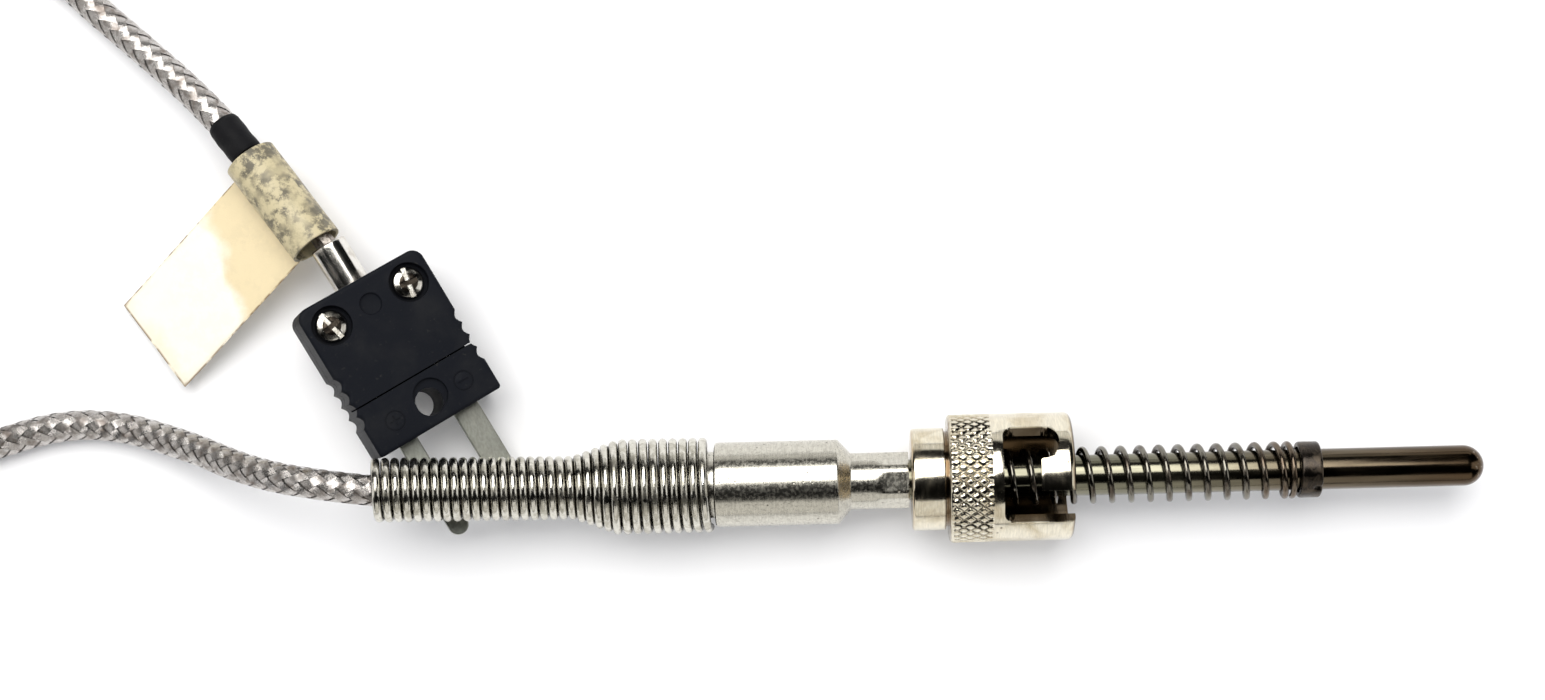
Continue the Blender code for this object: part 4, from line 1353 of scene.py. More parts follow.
@dataclass
class Cap:
    """The bayonet cap and the thrust washer inside it."""

    shop: Workshop
    columns: int = 390
    wall: float = 1.35 * MM
    floor: float = 4.5 * MM
    bore: float = 2.7 * MM
    collar: float = 6.0 * MM
    collar_length: float = 3.9 * MM
    groove_width: float = 0.4 * MM
    groove_depth: float = 0.4 * MM
    edge: float = 0.4 * MM
    rim_edge: float = 0.7 * MM
    knurl_length: float = 5.0 * MM
    knurl_count: int = 39
    knurl_pitch: float = 1.55 * MM
    knurl_depth: float = 0.22 * MM
    slot_from_rim: float = 3.95 * MM
    slot_width: float = 4.3 * MM
    slot_entry: Pair = (math.radians(9.4), math.radians(41.6))
    slot_end: float = math.radians(-53.6)
    detent_side: float = math.radians(-19.6)
    detent_depth: float = 2.2 * MM
    slot_corner: float = 1.3 * MM
    slot_mouth: float = 0.25 * MM
    slot_bevel: float = 0.16 * MM
    fine_edge: float = 0.08 * MM
    row_step: float = 1.6 * MM
    rows_per_diamond: int = 14
    diamond_flat: float = 0.42
    washer_edge: float = 0.12 * MM

    def __post_init__(self) -> None:
        """Reads the cap's ends and radius from its node."""
        low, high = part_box("bayonet_cap")
        self.rear, self.rim = low[0], high[0]
        self.outer = (high[1] - low[1]) / 2
        self.band = self.rear + self.collar_length + self.groove_width

    def build(self) -> None:
        """Builds the cap and the washer."""
        rear, rim, outer = self.rear, self.rim, self.outer
        front = rear + self.collar_length
        groove = self.collar - self.groove_depth
        inner = outer - self.wall
        seat = rear + self.floor
        fine = self.fine_edge
        corners = [
            (rear, self.bore, fine), (rear, self.collar, self.edge), (front, self.collar, 2 * fine),
            (front, groove, 0), (self.band, groove, 0), (self.band, outer, self.edge),
            (rim, outer, self.rim_edge), (rim, inner, fine), (seat, inner, self.edge),
            (seat, self.bore, fine),
        ]
        line = fillet(corners, closed=True)
        profile = self.rows(np.vstack([line, line[:1]]))
        shape = revolve(profile[:-1], self.columns, self.knurled).placed(ON_PROBE)
        past_knurl = edges_beyond(0, self.band + self.knurl_length + 0.5 * MM)
        made = self.shop.cut("knurled_cap", shape, [self.slot()], sharp=40, bevel=past_knurl,
                             width=self.slot_bevel)
        self.shop.finish_cut(made, NICKEL, "nickel_plate", ["bayonet_cap"], "cap")
        self.washer()

    def rows(self, line: Array) -> Array:
        """The profile's rows: close together under the knurl and further apart elsewhere.

        Args:
            line: the rounded section, its first point repeated.

        Returns:
            The denser section.
        """
        parts = []
        for start, end in zip(line, line[1:]):
            on_knurl = min(start[1], end[1]) > self.outer - 0.01 * MM and abs(end[0] - start[0]) > 4 * MM
            if not on_knurl:
                parts.append(densify(np.array([start, end]), self.row_step)[:-1])
                continue
            stop = self.band + self.knurl_length + 0.3 * MM
            middle = np.array([stop, start[1]])
            fine = self.knurl_pitch / self.rows_per_diamond
            parts.append(densify(np.array([start, middle]), fine)[:-1])
            parts.append(densify(np.array([middle, end]), self.row_step)[:-1])
        return np.vstack([*parts, line[-1:]])

    def knurled(self, x: Array, a: Array, r: Array) -> Array:
        """The radius with diamonds pressed in.

        Two families of grooves cross: p and q are the angle's share of a diamond plus and minus x's, and
        the height is the lower of their two triangle waves, cut flat at the top.

        Args:
            x: places along the probe.
            a: column angles.
            r: the profile's radii.

        Returns:
            The knurled radii.
        """
        p = self.knurl_count * a / TURN + (x - self.band) / self.knurl_pitch
        q = self.knurl_count * a / TURN - (x - self.band) / self.knurl_pitch
        wave = np.minimum(1 - np.abs(2 * (p % 1) - 1), 1 - np.abs(2 * (q % 1) - 1))
        depth = self.knurl_depth * (1 - np.minimum(wave / self.diamond_flat, 1))
        ends = smooth((x - self.band - 0.30 * MM) / (0.2 * MM))
        ends = ends * smooth((self.band + self.knurl_length - x) / (0.2 * MM))
        return r - depth * ends * (r > self.outer - 0.02 * MM)

    def slot(self) -> Shape:
        """The cutter of the bayonet slot, through the wall.

        A flat outline is wrapped round the axis: a point's place across becomes an angle.

        Returns:
            The closed cutter.
        """
        middle = self.outer - self.wall / 2
        near = self.rim - self.slot_from_rim
        far = near - self.slot_width
        arc = middle * (self.detent_side - self.slot_end) / 2
        entry = [middle * a for a in self.slot_entry]
        end = middle * self.slot_end
        side = middle * self.detent_side
        top = near + self.detent_depth
        corners = [
            (entry[0], self.rim + self.wall, 0), (entry[1], self.rim + self.wall, 0),
            (entry[1], far, self.slot_corner), (end, far, self.slot_corner), (end, top, arc * 0.995),
            (side, top, arc * 0.995), (side, near, self.slot_mouth), (entry[0], near, self.slot_mouth),
        ]
        flat = densify(fillet(corners, closed=True, steps=8), 0.8 * MM)
        angle = flat[:, 0] / middle
        rows = []
        for radius in (self.outer - 2.2 * self.wall, self.outer + self.wall):
            rows.append(np.stack([flat[:, 1], -radius * np.sin(angle), radius * np.cos(angle)], axis=-1))
        return grid(np.array(rows)).placed(ON_PROBE)

    def washer(self) -> None:
        """The thrust washer between the cap's floor and the spring."""
        low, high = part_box("thrust_washer")
        radius = (high[1] - low[1]) / 2
        edge = self.washer_edge
        corners = band_corners((low[0], high[0]), (self.bore, radius), (edge, edge))
        shape = revolve(fillet(corners, closed=True), 72).placed(ON_PROBE)
        self.shop.piece("seat_washer", shape, WASHER_STEEL, "bright_steel", ["thrust_washer"], "spring_seat")


@dataclass
class Relief:
    """The ferrule, the spring that protects the lead where it leaves, and the lead inside them."""

    shop: Workshop
    crimp_flats: float = 6.1 * MM
    crimp_end: float = -5.5 * MM
    blend: float = 0.5 * MM
    neck: float = 3.3 * MM
    neck_end: float = -9.0 * MM
    taper_end: float = -10.5 * MM
    body: float = 4.95 * MM
    body_end: float = -24.9 * MM
    spigot: float = 3.9 * MM
    bore: float = 2.55 * MM
    pocket: float = 3.2 * MM
    pocket_front: float = -9.95 * MM
    wire: float = 1.04 * MM
    wide: float = 5.08 * MM
    narrow: float = 3.23 * MM
    wide_turns: int = 9
    flare_turns: int = 5
    narrow_turns: float = 20.8
    wide_pitch: float = 1.18 * MM
    flare_pitch: float = 1.03 * MM
    phase: float = math.radians(190)
    front: float = -25.72 * MM
    rear: float = -64.23 * MM
    rest_at: float = 33.2 * MM
    rise: float = 3.75 * MM
    lean: float = 0.55 * MM
    turn_steps: int = 56
    wire_sides: int = 12

    def axis(self, x: Array) -> tuple[Array, Array, Array, Array]:
        """The spring's bent centre line.

        It is a beam held at the ferrule and pushed aside at rest_at, straight beyond: the share of the
        rise at a held run h is (3 L h^2 - h^3) / 2 L^3, plus 1.5 / L for each metre beyond.

        Args:
            x: places along the probe.

        Returns:
            The points, two directions across, and the direction along, one row for each place.
        """
        run = np.maximum(0.0, self.body_end - x)
        held = np.minimum(run, self.rest_at)
        length = self.rest_at
        share = (3 * length * held**2 - held**3) / (2 * length**3) + 1.5 / length * (run - held)
        steep = (3 * length * held - 1.5 * held**2) / length**3
        centre = np.column_stack([x, self.lean * share, AXIS_Z + self.rise * share])
        along = np.column_stack([-np.ones_like(x), self.lean * steep, self.rise * steep])
        along /= np.linalg.norm(along, axis=1)[:, None]
        first = np.cross(along, (0.0, 0.0, 1.0))
        first /= np.linalg.norm(first, axis=1)[:, None]
        return centre, first, np.cross(first, along), along

    def build(self) -> None:
        """Builds the ferrule and the spring, and dresses the nodes inside them."""
        self.ferrule()
        self.spring()
        self.shop.dress("ferrule_filling", RESIN)
        self.shop.dress("cable_in_relief", CORE_BRAID)

    def ferrule(self) -> None:
        """The turned ferrule, pressed to six flats over the sheath."""
        low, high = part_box("transition_ferrule")
        fine = 0.1 * MM
        corners = [
            (high[0], self.bore, 0), (high[0], self.neck, fine), (self.neck_end, self.neck, 2 * fine),
            (self.taper_end, self.body, 2 * fine), (self.body_end, self.body, 3 * fine),
            (self.body_end, self.spigot, 0), (low[0], self.spigot, fine), (low[0], self.pocket, fine),
            (self.pocket_front, self.pocket, 0), (self.pocket_front, self.bore, 0),
        ]
        profile = closed_profile(corners, 0.5 * MM)

        def crimped(x: Array, a: Array, r: Array) -> Array:
            """The radius, pressed to six flats in front of the crimp's end.

            Args:
                x: places along the probe.
                a: column angles.
                r: the profile's radii.

            Returns:
                The pressed radii.
            """
            flat = math.pi / 3
            reach = self.crimp_flats / 2 / np.cos((a + flat / 2) % flat - flat / 2)
            share = smooth((x - self.crimp_end + self.blend / 2) / self.blend)
            pressed = r + (np.minimum(r, reach) - r) * share
            return np.where((r > self.bore + 0.3 * MM) & (x > self.neck_end), pressed, r)

        shape = revolve(profile, 120, crimped).placed(ON_PROBE)
        self.shop.piece("crimped_ferrule", shape, SATIN, "satin_steel", ["transition_ferrule"], sharp=30)

    def spring(self) -> None:
        """The strain relief: nine wide turns over the spigot, a flare of five, then narrow turns."""
        turns = [self.wide_turns, self.flare_turns, self.narrow_turns]
        wide_run = self.wide_turns * self.wide_pitch
        flare_run = self.flare_turns * self.flare_pitch
        run = [wide_run, flare_run, self.front - self.rear - wide_run - flare_run]
        knots = np.cumsum([0, *turns])
        count = np.linspace(0, knots[-1], round(knots[-1] * self.turn_steps) + 1)
        radii = np.interp(count, knots, [self.wide, self.wide, self.narrow, self.narrow])
        places = self.front - np.interp(count, knots, np.cumsum([0, *run]))
        centre, first, second, along = self.axis(places)
        shape = wound(self.phase - TURN * count, centre, first, second, along, radii, self.wire,
                      self.wire_sides)
        self.shop.piece("relief_spring", shape, RELIEF_STEEL, "bright_steel", ["strain_relief_spring"])


@dataclass
class Lead:
    """The braided lead: out of the strain relief, down, round the coil and back to its sleeves."""

    shop: Workshop
    relief: Relief
    diameter: float = 3.5 * MM
    in_route: tuple[Triple, ...] = (
        (-66.0, 0.9, 12.6), (-71.2, 1.7, 12.6), (-76.3, 2.6, 11.0), (-81.3, 3.9, 8.4), (-86.0, 5.5, 5.7),
        (-91.0, 7.0, 3.5), (-95.6, 8.2, 2.2), (-100.5, 8.8, 1.85), (-105.5, 8.4, 1.85),
        (-111.2, 6.9, 1.85), (-116.5, 5.3, 1.85), (-121.8, 3.6, 1.9), (-128.0, 2.2, 2.2),
        (-134.0, 1.55, 2.5),
    )
    out_route: tuple[Triple, ...] = (
        (-142.1, 54.2, 5.4), (-134.5, 59.2, 4.2), (-126.5, 63.4, 3.0), (-117.5, 66.3, 2.1),
        (-108.5, 65.6, 1.85), (-102.5, 62.6, 1.9), (-97.6, 58.2, 2.3), (-92.3, 53.6, 3.3),
        (-87.0, 48.9, 4.7), (-82.4, 44.3, 6.0), (-80.6, 42.1, 6.55),
    )
    coil_centre: Pair = (-140.5, 26.0)
    coil_radii: tuple[float, ...] = (24.5, 21.0, 17.5, 17.5, 21.0, 24.5)
    coil_heights: tuple[float, ...] = (2.65, 2.65, 2.65, 6.15, 6.15, 6.15)
    coil_turns: float = 5.403
    coil_start: float = math.radians(-90)
    change: float = 0.11
    dip: float = 1.3
    dip_at: float = 2.95
    dip_spread: float = 0.035
    coil_points: int = 160
    in_coil: float = -112 * MM
    seen_step: float = 0.35 * MM
    coil_step: float = 0.72 * MM
    ribbons: int = 8
    pitch: float = 15.7 * MM
    ribbon_width: float = 1.02 * MM
    ribbon_rise: float = 0.12 * MM
    crown: float = 0.05 * MM
    tube_sides: int = 10
    tie_angles: tuple[float, ...] = (math.radians(10), math.radians(190))
    tie_gap: float = 0.3 * MM
    tie_thickness: float = 0.6 * MM
    tie_width: float = 4.0 * MM
    tie_corner: float = 1.3
    tie_edge: float = 0.15 * MM
    head_half: Pair = (2.6 * MM, 1.6 * MM)
    head_depth: float = 2.6 * MM
    head_in: float = 1.2 * MM

    def coil(self) -> Array:
        """The coil's points in millimetres.

        After t turns the angle is start - t turns. Radius and height step to the next lane over the end
        of each turn, and the radius dips while the lead climbs to the upper layer.

        Returns:
            The points, one to a row.
        """
        t = np.linspace(0.02, self.coil_turns, self.coil_points)
        lane = np.floor(t).astype(int)
        share = smooth((t % 1 - (1 - self.change)) / self.change)
        share = np.where(lane >= len(self.coil_radii) - 1, 0.0, share)
        after = np.minimum(lane + 1, len(self.coil_radii) - 1)
        radii = np.array(self.coil_radii)
        heights = np.array(self.coil_heights)
        radius = radii[lane] + (radii[after] - radii[lane]) * share
        height = heights[lane] + (heights[after] - heights[lane]) * share
        radius = radius - self.dip * np.exp(-(((t - self.dip_at) / self.dip_spread) ** 2))
        angle = self.coil_start - TURN * t
        x = self.coil_centre[0] + radius * np.cos(angle)
        y = self.coil_centre[1] + radius * np.sin(angle)
        return np.column_stack([x, y, height])

    def path(self) -> Array:
        """The whole centre line, from inside the strain relief to inside the heat-shrink sleeve.

        Returns:
            The line's points, in metres.
        """
        held = self.relief.axis(np.array([-63.2 * MM, -64.6 * MM]))[0] / MM
        route = np.vstack([held, self.in_route, self.coil(), self.out_route])
        return through(route, 10) * MM

    def places(self, dense: Array) -> Array:
        """Distances along the lead: a short step where it is seen and a longer one in the coil.

        Args:
            dense: the centre line.

        Returns:
            The distances, from 0 to the lead's length.
        """
        run = run_along(dense)
        out = np.where(dense[:, 0] < self.in_coil)[0]
        leaves, returns = run[out[0]], run[out[-1]]
        parts = [(0.0, leaves, self.seen_step), (leaves, returns, self.coil_step),
                 (returns, run[-1], self.seen_step)]
        spans = [np.linspace(a, b, max(2, round((b - a) / s)), endpoint=False) for a, b, s in parts]
        return np.concatenate([*spans, run[-1:]])

    def build(self, with_pieces: Sequence[Piece]) -> None:
        """Builds the braided lead and its ties.

        Args:
            with_pieces: the pieces on the lead's far end; not used.
        """
        dense = self.path()
        runs = self.places(dense)
        path = at_runs(dense, runs)
        # The base tube carries zeros, so the braid's painted shade makes it dark between the ribbons.
        base = tube(path, np.full(len(path), self.diameter / 2 - 0.16 * MM), self.tube_sides)
        shapes = [base]
        for way in Direction:
            for number in range(self.ribbons):
                shapes.append(self.ribbon(path, runs, way, number))
        made = self.shop.piece("braided_lead", joined(shapes), Braid(), "steel_braid",
                               ["cable_lead_in", "cable_coil", "cable_lead_out"], sharp=60)
        for number, angle in enumerate(self.tie_angles, 1):
            self.tie(number, angle)

    def ribbon(self, path: Array, runs: Array, way: Direction, number: int) -> Shape:
        """One closed ribbon of the braid.

        Its angle is number / 8 of a turn plus way x run / pitch turns. At crossing c = 16 run / pitch it
        meets the ribbon of the other way, and it rises and falls as cos(pi/2 (number sum) + pi/4), which
        makes two over, two under.

        Args:
            path: the lead's centre line.
            runs: the distance along it at each point.
            way: which way the ribbon winds.
            number: which ribbon of its way it is.

        Returns:
            The ribbon, whose points carry the place across, the run and the ribbon's number.
        """
        across, up, along = frames_along(path)
        crossing = 2 * self.ribbons * runs / self.pitch
        phase = math.pi / 2 * (2 * number + way.value * crossing) + math.pi / 4
        lift = way.value * self.ribbon_rise * np.cos(phase)
        angle = TURN * (number / self.ribbons + way.value * runs / self.pitch)
        outward = np.cos(angle)[:, None] * across + np.sin(angle)[:, None] * up
        sideways = -np.sin(angle)[:, None] * across + np.cos(angle)[:, None] * up
        radius = self.diameter / 2 - 0.12 * MM + lift
        lean = math.atan(TURN * self.diameter / 2 / self.pitch)
        wide = sideways * math.cos(lean) - way.value * along * math.sin(lean)
        middle = path + radius[:, None] * outward
        half = self.ribbon_width / 2
        rows = [middle - wide * half, middle + outward * self.crown, middle + wide * half]
        values = [np.column_stack([np.full(len(runs), v), runs, np.full(len(runs), number + 8.5 * way.value)])
                  for v in (-1.0, 0.0, 1.0)]
        return grid(np.stack(rows, axis=1), values=np.stack(values, axis=1))

    def tie(self, number: int, angle: float) -> None:
        """A strap round the coil's section, with its head on the outside.

        Args:
            number: which tie it is.
            angle: where it is round the coil.
        """
        half = self.diameter / 2 / MM
        low = self.coil_heights[0] - half
        high = self.coil_heights[-1] + half
        inner, outer = min(self.coil_radii) - half, max(self.coil_radii) + half
        gap = self.tie_gap / MM
        corners = rectangle((inner - gap, low - gap), (outer + gap, high + gap), self.tie_corner)
        loop = fillet(corners, closed=True, steps=6) * MM
        on = np.roll(loop, -1, axis=0) - np.roll(loop, 1, axis=0)
        out = np.stack([on[:, 1], -on[:, 0]], axis=1)
        out /= np.linalg.norm(out, axis=1)[:, None]
        wide, thick = self.tie_width / 2, self.tie_thickness
        section = fillet(rectangle((-wide, 0.0), (wide, thick), self.tie_edge), closed=True, steps=3)
        flat = loop[:, None, :] + out[:, None, :] * section[None, :, 1:]
        side = np.repeat(section[None, :, 0], len(loop), axis=0)
        points = np.stack([flat[:, :, 0], side, flat[:, :, 1]], axis=-1)
        band = grid(points, loop=True)
        long, broad = self.head_half
        outline = fillet(rectangle((-long, -broad), (long, broad), 0.5 * MM), closed=True)
        top = (high + gap) * MM
        head = raised(outline, edge_levels(top - self.head_depth, top - 0.1 * MM + thick, 0.3 * MM))
        head.placed(axes(((outer + gap) * MM - self.head_in, 0, 0), (0, 1, 0), (-1, 0, 0), (0, 0, 1)))
        cos, sin = math.cos(angle), math.sin(angle)
        centre = (self.coil_centre[0] * MM, self.coil_centre[1] * MM, 0.0)
        shape = joined([band, head]).placed(axes(centre, (cos, sin, 0), (-sin, cos, 0), (0, 0, 1)))
        self.shop.piece(f"tie_strap_{number}", shape, TIE_PLASTIC, "black_tie", [f"coil_tie_{number}"])


@dataclass
class Sleeves:
    """The heat-shrink sleeve and the flag label on the lead behind the plug."""

    shop: Workshop
    shrink_ends: tuple[Triple, ...] = ((-82.2, 44.1, 6.1), (-79.0, 40.2, 7.0))
    label_ends: tuple[Triple, ...] = ((-78.8, 39.9, 7.1), (-70.9, 29.3, 8.3))
    shrink: float = 1.98 * MM
    outer: float = 3.15 * MM
    inner: float = 2.75 * MM
    flag_start: float = 2.41 * MM
    flag_end: float = 24.0 * MM
    flag_half: float = 6.3 * MM
    skew: float = 2.1 * MM
    drop: float = 1.7 * MM
    slope: float = math.radians(13)
    thickness: float = 0.26 * MM
    edge: float = 0.1 * MM
    ripple: float = 0.012
    uneven: float = 0.016
    flag_columns: int = 31
    flag_rows: int = 49

    @staticmethod
    def between(start: Sequence[float], end: Sequence[float]) -> tuple[Array, float]:
        """A frame halfway between two points, its y axis towards the start, and their distance.

        Args:
            start: the first point, in millimetres.
            end: the other point.

        Returns:
            The 4x4 matrix, and the distance in metres.
        """
        first, second = np.array(start) * MM, np.array(end) * MM
        along = (first - second) / np.linalg.norm(first - second)
        across = np.cross(along, (0.0, 0.0, 1.0))
        across /= np.linalg.norm(across)
        up = np.cross(across, along)
        return axes((first + second) / 2, across, along, up), float(np.linalg.norm(first - second))

    def build(self) -> list[Piece]:
        """Builds both sleeves and gives them.

        Returns:
            The sleeve and the label.
        """
        matrix, length = self.between(*self.shrink_ends)
        half = length / 2
        edge = self.edge
        corners = [
            (-half, 0, 0), (-half, self.shrink - 0.1 * MM, edge), (-half + 0.4 * MM, self.shrink, edge),
            (half - 0.5 * MM, self.shrink, edge), (half, self.shrink - 0.16 * MM, edge), (half, 0, 0),
        ]
        profile = densify(fillet(corners), 0.25 * MM)

        def wrinkled(x: Array, a: Array, r: Array) -> Array:
            """The radius, with two slow waves on it."""
            wave = np.sin(x / (0.35 * MM) + 1.3 * np.sin(2 * a)) + np.sin(3 * a + x / (0.9 * MM))
            return r * (1 + self.ripple * wave)

        shape = revolve(profile, 40, wrinkled).placed(LENGTHWAYS).placed(matrix)
        sleeve = self.shop.piece("shrink_sleeve", shape, SHRINK_RUBBER, "black_heat_shrink",
                                 ["heat_shrink_sleeve"])
        return [sleeve, self.label()]

    def label(self) -> Piece:
        """The label: wrapped round the lead, with its two ends stuck together as a flag.

        Returns:
            The label.
        """
        matrix, length = self.between(*self.label_ends)
        half = length / 2 - 0.05 * MM
        corners = band_corners((-half, half), (self.inner, self.outer), (self.edge, self.edge))

        def pressed(x: Array, a: Array, r: Array) -> Array:
            """The radius, drawn in by up to the share that it is uneven."""
            wave = np.sin(2 * a + x / (2.2 * MM)) * np.cos(x / (3.1 * MM))
            return r * (1 - self.uneven * (1 + wave) / 2)

        wrap = revolve(closed_profile(corners, 0.5 * MM), 64, pressed).placed(LENGTHWAYS)
        wrap.values = np.zeros_like(wrap.points)
        shape = joined([wrap, self.flag()]).placed(matrix)
        return self.shop.piece("flag_label", shape, Paper(), "yellowed_label", ["label_wrap"], sharp=50)

    def flag(self) -> Shape:
        """The flag: a thin skewed sheet, sloping down and a little wavy.

        At share s out from the lead and share t across, the height is a straight slope plus two slow
        waves that grow with s. The section goes round the sheet's top and bottom.

        Returns:
            The closed sheet, whose points carry their shares along and across.
        """
        s = np.linspace(0, 1, self.flag_rows)
        t = np.linspace(-1, 1, self.flag_columns)
        across = np.concatenate([t, t[::-1]])
        face = np.concatenate([np.ones_like(t), -np.ones_like(t)]) * self.thickness / 2
        out, wide = np.meshgrid(s, across, indexing="ij")
        reach = self.flag_end - self.flag_start
        x = -(self.flag_start + reach * out)
        y = wide * self.flag_half - self.skew * out
        fall = self.drop + reach * out * math.tan(self.slope)
        wave = 0.16 * MM * out * np.sin(2.6 * out + 1.7 * wide) + 0.10 * MM * out * np.sin(5 * out - 2 * wide)
        round_edge = np.sqrt(np.clip(1 - np.clip((np.abs(wide) - 0.97) / 0.03, 0, 1) ** 2, 0.05, 1))
        z = -fall + np.abs(wave) * 0.9 + face[None, :] * round_edge
        values = np.stack([0.05 + 0.95 * out, wide, np.zeros_like(out)], axis=-1)
        return grid(np.stack([x, y, z], axis=-1), values=values)


@dataclass
class Plug:
    """The two-pin plug, in its own frame: u across, v towards the lead and w up."""

    shop: Workshop
    origin: Triple = (-57.9 * MM, 7.95 * MM, 5.8136 * MM)
    yaw: float = math.radians(28.6)
    pitch: float = math.radians(6)
    roll: float = math.radians(20)
    half: float = 8.15 * MM
    length: float = 19.2 * MM
    below: float = 3.4 * MM
    above: float = 4.4 * MM
    corner: float = 1.4 * MM
    edge: float = 0.4 * MM
    block: float = 6.3 * MM
    split: float = 0.16 * MM
    grip_start: float = 3.85 * MM
    grip_pitch: float = 1.68 * MM
    grip_count: int = 4
    grip_depth: float = 0.45 * MM
    pin_u: float = 3.95 * MM
    pin_thickness: float = 0.8 * MM
    pin_length: float = 12.7 * MM
    tab: float = 4.4 * MM
    cavity_start: float = 7.4 * MM
    cavity_end: float = 13.6 * MM
    cavity_half: float = 6.55 * MM
    screw_u: float = 5.1 * MM
    screw_v: float = 16.0 * MM
    counterbore: float = 2.35 * MM
    counterbore_depth: float = 1.3 * MM
    head: float = 1.85 * MM
    dimple: float = 1.3 * MM
    hole: float = 1.65 * MM
    hole_v: float = 2.8 * MM
    tube_outer: float = 2.15 * MM
    tube_inner: float = 1.55 * MM
    tube_shown: float = 5.4 * MM
    tube_start: float = 1.75 * MM
    tube_edges: Pair = (0.05 * MM, 0.22 * MM)
    parting: float = 0.075 * MM
    channel: float = 2.3 * MM
    overlap: float = 0.3 * MM
    pin_gap: float = 0.15 * MM
    cavity_low: float = -2.1 * MM
    cavity_high: float = 2.9 * MM
    screw_hole: float = 1.15 * MM
    screw_hole_low: float = -2.6 * MM
    mark_at: Pair = (4.6 * MM, 2.9 * MM)
    mark_ring: Pair = (1.02 * MM, 1.20 * MM)
    mark_half: float = 0.62 * MM
    mark_line: float = 0.1 * MM
    mark_depth: float = 0.10 * MM
    dish_off: Pair = (0.45 * MM, 0.6 * MM)
    dish_radius: float = 2.05 * MM
    dish_depth: float = 0.5 * MM
    top_bevel: float = 0.10 * MM
    tab_edge: float = 0.2 * MM
    shank: float = 1.0 * MM
    shank_length: float = 5.4 * MM
    recess_depth: float = 0.45 * MM
    recess_half: float = 0.3 * MM
    cross_half: float = 1.1 * MM
    clear: float = 1 * MM

    def __post_init__(self) -> None:
        """Works out the plug's frame from its three turns."""
        cy, sy = math.cos(self.yaw), math.sin(self.yaw)
        cp, sp = math.cos(self.pitch), math.sin(self.pitch)
        cr, sr = math.cos(self.roll), math.sin(self.roll)
        about_z = np.array([[cy, -sy, 0], [sy, cy, 0], [0, 0, 1]])
        about_x = np.array([[1, 0, 0], [0, cp, -sp], [0, sp, cp]])
        about_y = np.array([[cr, 0, sr], [0, 1, 0], [-sr, 0, cr]])
        self.matrix = np.eye(4)
        self.matrix[:3, :3] = about_z @ about_x @ about_y
        self.matrix[:3, 3] = self.origin

    def pin_half(self, side: Side) -> float:
        """Half a pin's width: the negative pin is the wider one."""
        return (1.2 if side is Side.POSITIVE else 1.6) * MM

    def outline(self) -> Array:
        """The plug from above: scallops |sin| deep along both sides and round corners at the lead.

        Returns:
            The outline, anticlockwise.
        """
        steps = 10 * self.grip_count
        share = np.linspace(0, 1, steps + 1)
        bite = self.grip_depth * np.abs(np.sin(math.pi * self.grip_count * share))
        end = self.grip_start + self.grip_count * self.grip_pitch
        grip = np.column_stack([self.half - bite, self.grip_start + (end - self.grip_start) * share])
        front = fillet([(0, 0, 0), (self.half, 0, self.edge), (self.half, self.grip_start, 0)])[1:-1]
        back = fillet([(self.half, end, 0), (self.half, self.length, self.corner), (0, self.length, 0)],
                      steps=8)[1:-1]
        right = densify(np.vstack([front, grip, back]), 0.8 * MM)
        left = right[::-1] * (-1, 1)
        return np.vstack([right, left])

    @staticmethod
    def standing(profile: Array, u: float, v: float, sides: int = 48) -> Shape:
        """A profile turned about an upright axis.

        Args:
            profile: rows of (height, radius).
            u: the axis's place across the plug.
            v: its place along the plug.
            sides: the number of columns.

        Returns:
            The closed shape.
        """
        turned = revolve(profile, sides).placed(UPRIGHT)
        turned.points += (u, v, 0.0)
        return turned

    def round_cutter(self, u: float, v: float, radius: float, low: float, high: float,
                     sides: int = 48) -> Shape:
        """An upright round cutter.

        Args:
            u: the place across.
            v: the place along.
            radius: the radius.
            low: the bottom's height.
            high: the top's.
            sides: the number of columns.

        Returns:
            The cutter.
        """
        profile = np.array([(low, 0.0), (low, radius), (high, radius), (high, 0.0)])
        return self.standing(profile, u, v, sides)

    def build(self) -> list[Piece]:
        """Builds the plug's pieces and gives them.

        Returns:
            The plug's pieces and the CAD nodes inside it.
        """
        pieces = [self.lower_half(), self.upper_half()]
        for side in Side:
            pieces.append(self.blade(side))
            pieces.append(self.screw(side))
        pieces.append(self.crimp_tube())
        for side in Side:
            self.shop.dress(f"terminal_screw_{side.label}", SCREW_STEEL)
            self.shop.dress(f"conductor_{side.label}", ALLOYS[side])
        self.shop.dress("lead_core", CORE_BRAID)
        nodes = self.shop.frame["nodes"]
        inside = [nodes[f"{name}_{side.label}"] for name in ("terminal_screw", "conductor") for side in Side]
        return [*pieces, *inside, nodes["lead_core"]]

    def shared_cuts(self, low: float, high: float) -> list[Shape]:
        """Cutters for both halves: the cavity, the lead's channel and the pins' slots.

        Args:
            low: the cavity's floor.
            high: its top.

        Returns:
            The cutters.
        """
        start, far = self.cavity_end - self.overlap, 2 * self.length
        channel = np.array([(start, 0.0), (start, self.channel), (far, self.channel), (far, 0.0)])
        wide = self.cavity_half
        cuts = [box_shape((-wide, self.cavity_start, low), (wide, self.cavity_end, high)),
                revolve(channel, 48).placed(LENGTHWAYS)]
        inside = self.cavity_start + self.overlap
        for side in Side:
            u = side.value * self.pin_u
            half = self.pin_half(side) + self.pin_gap
            thick = self.pin_thickness / 2 + self.pin_gap
            cuts.append(box_shape((u - half, -2 * MM, -thick), (u + half, inside, thick)))
        return cuts

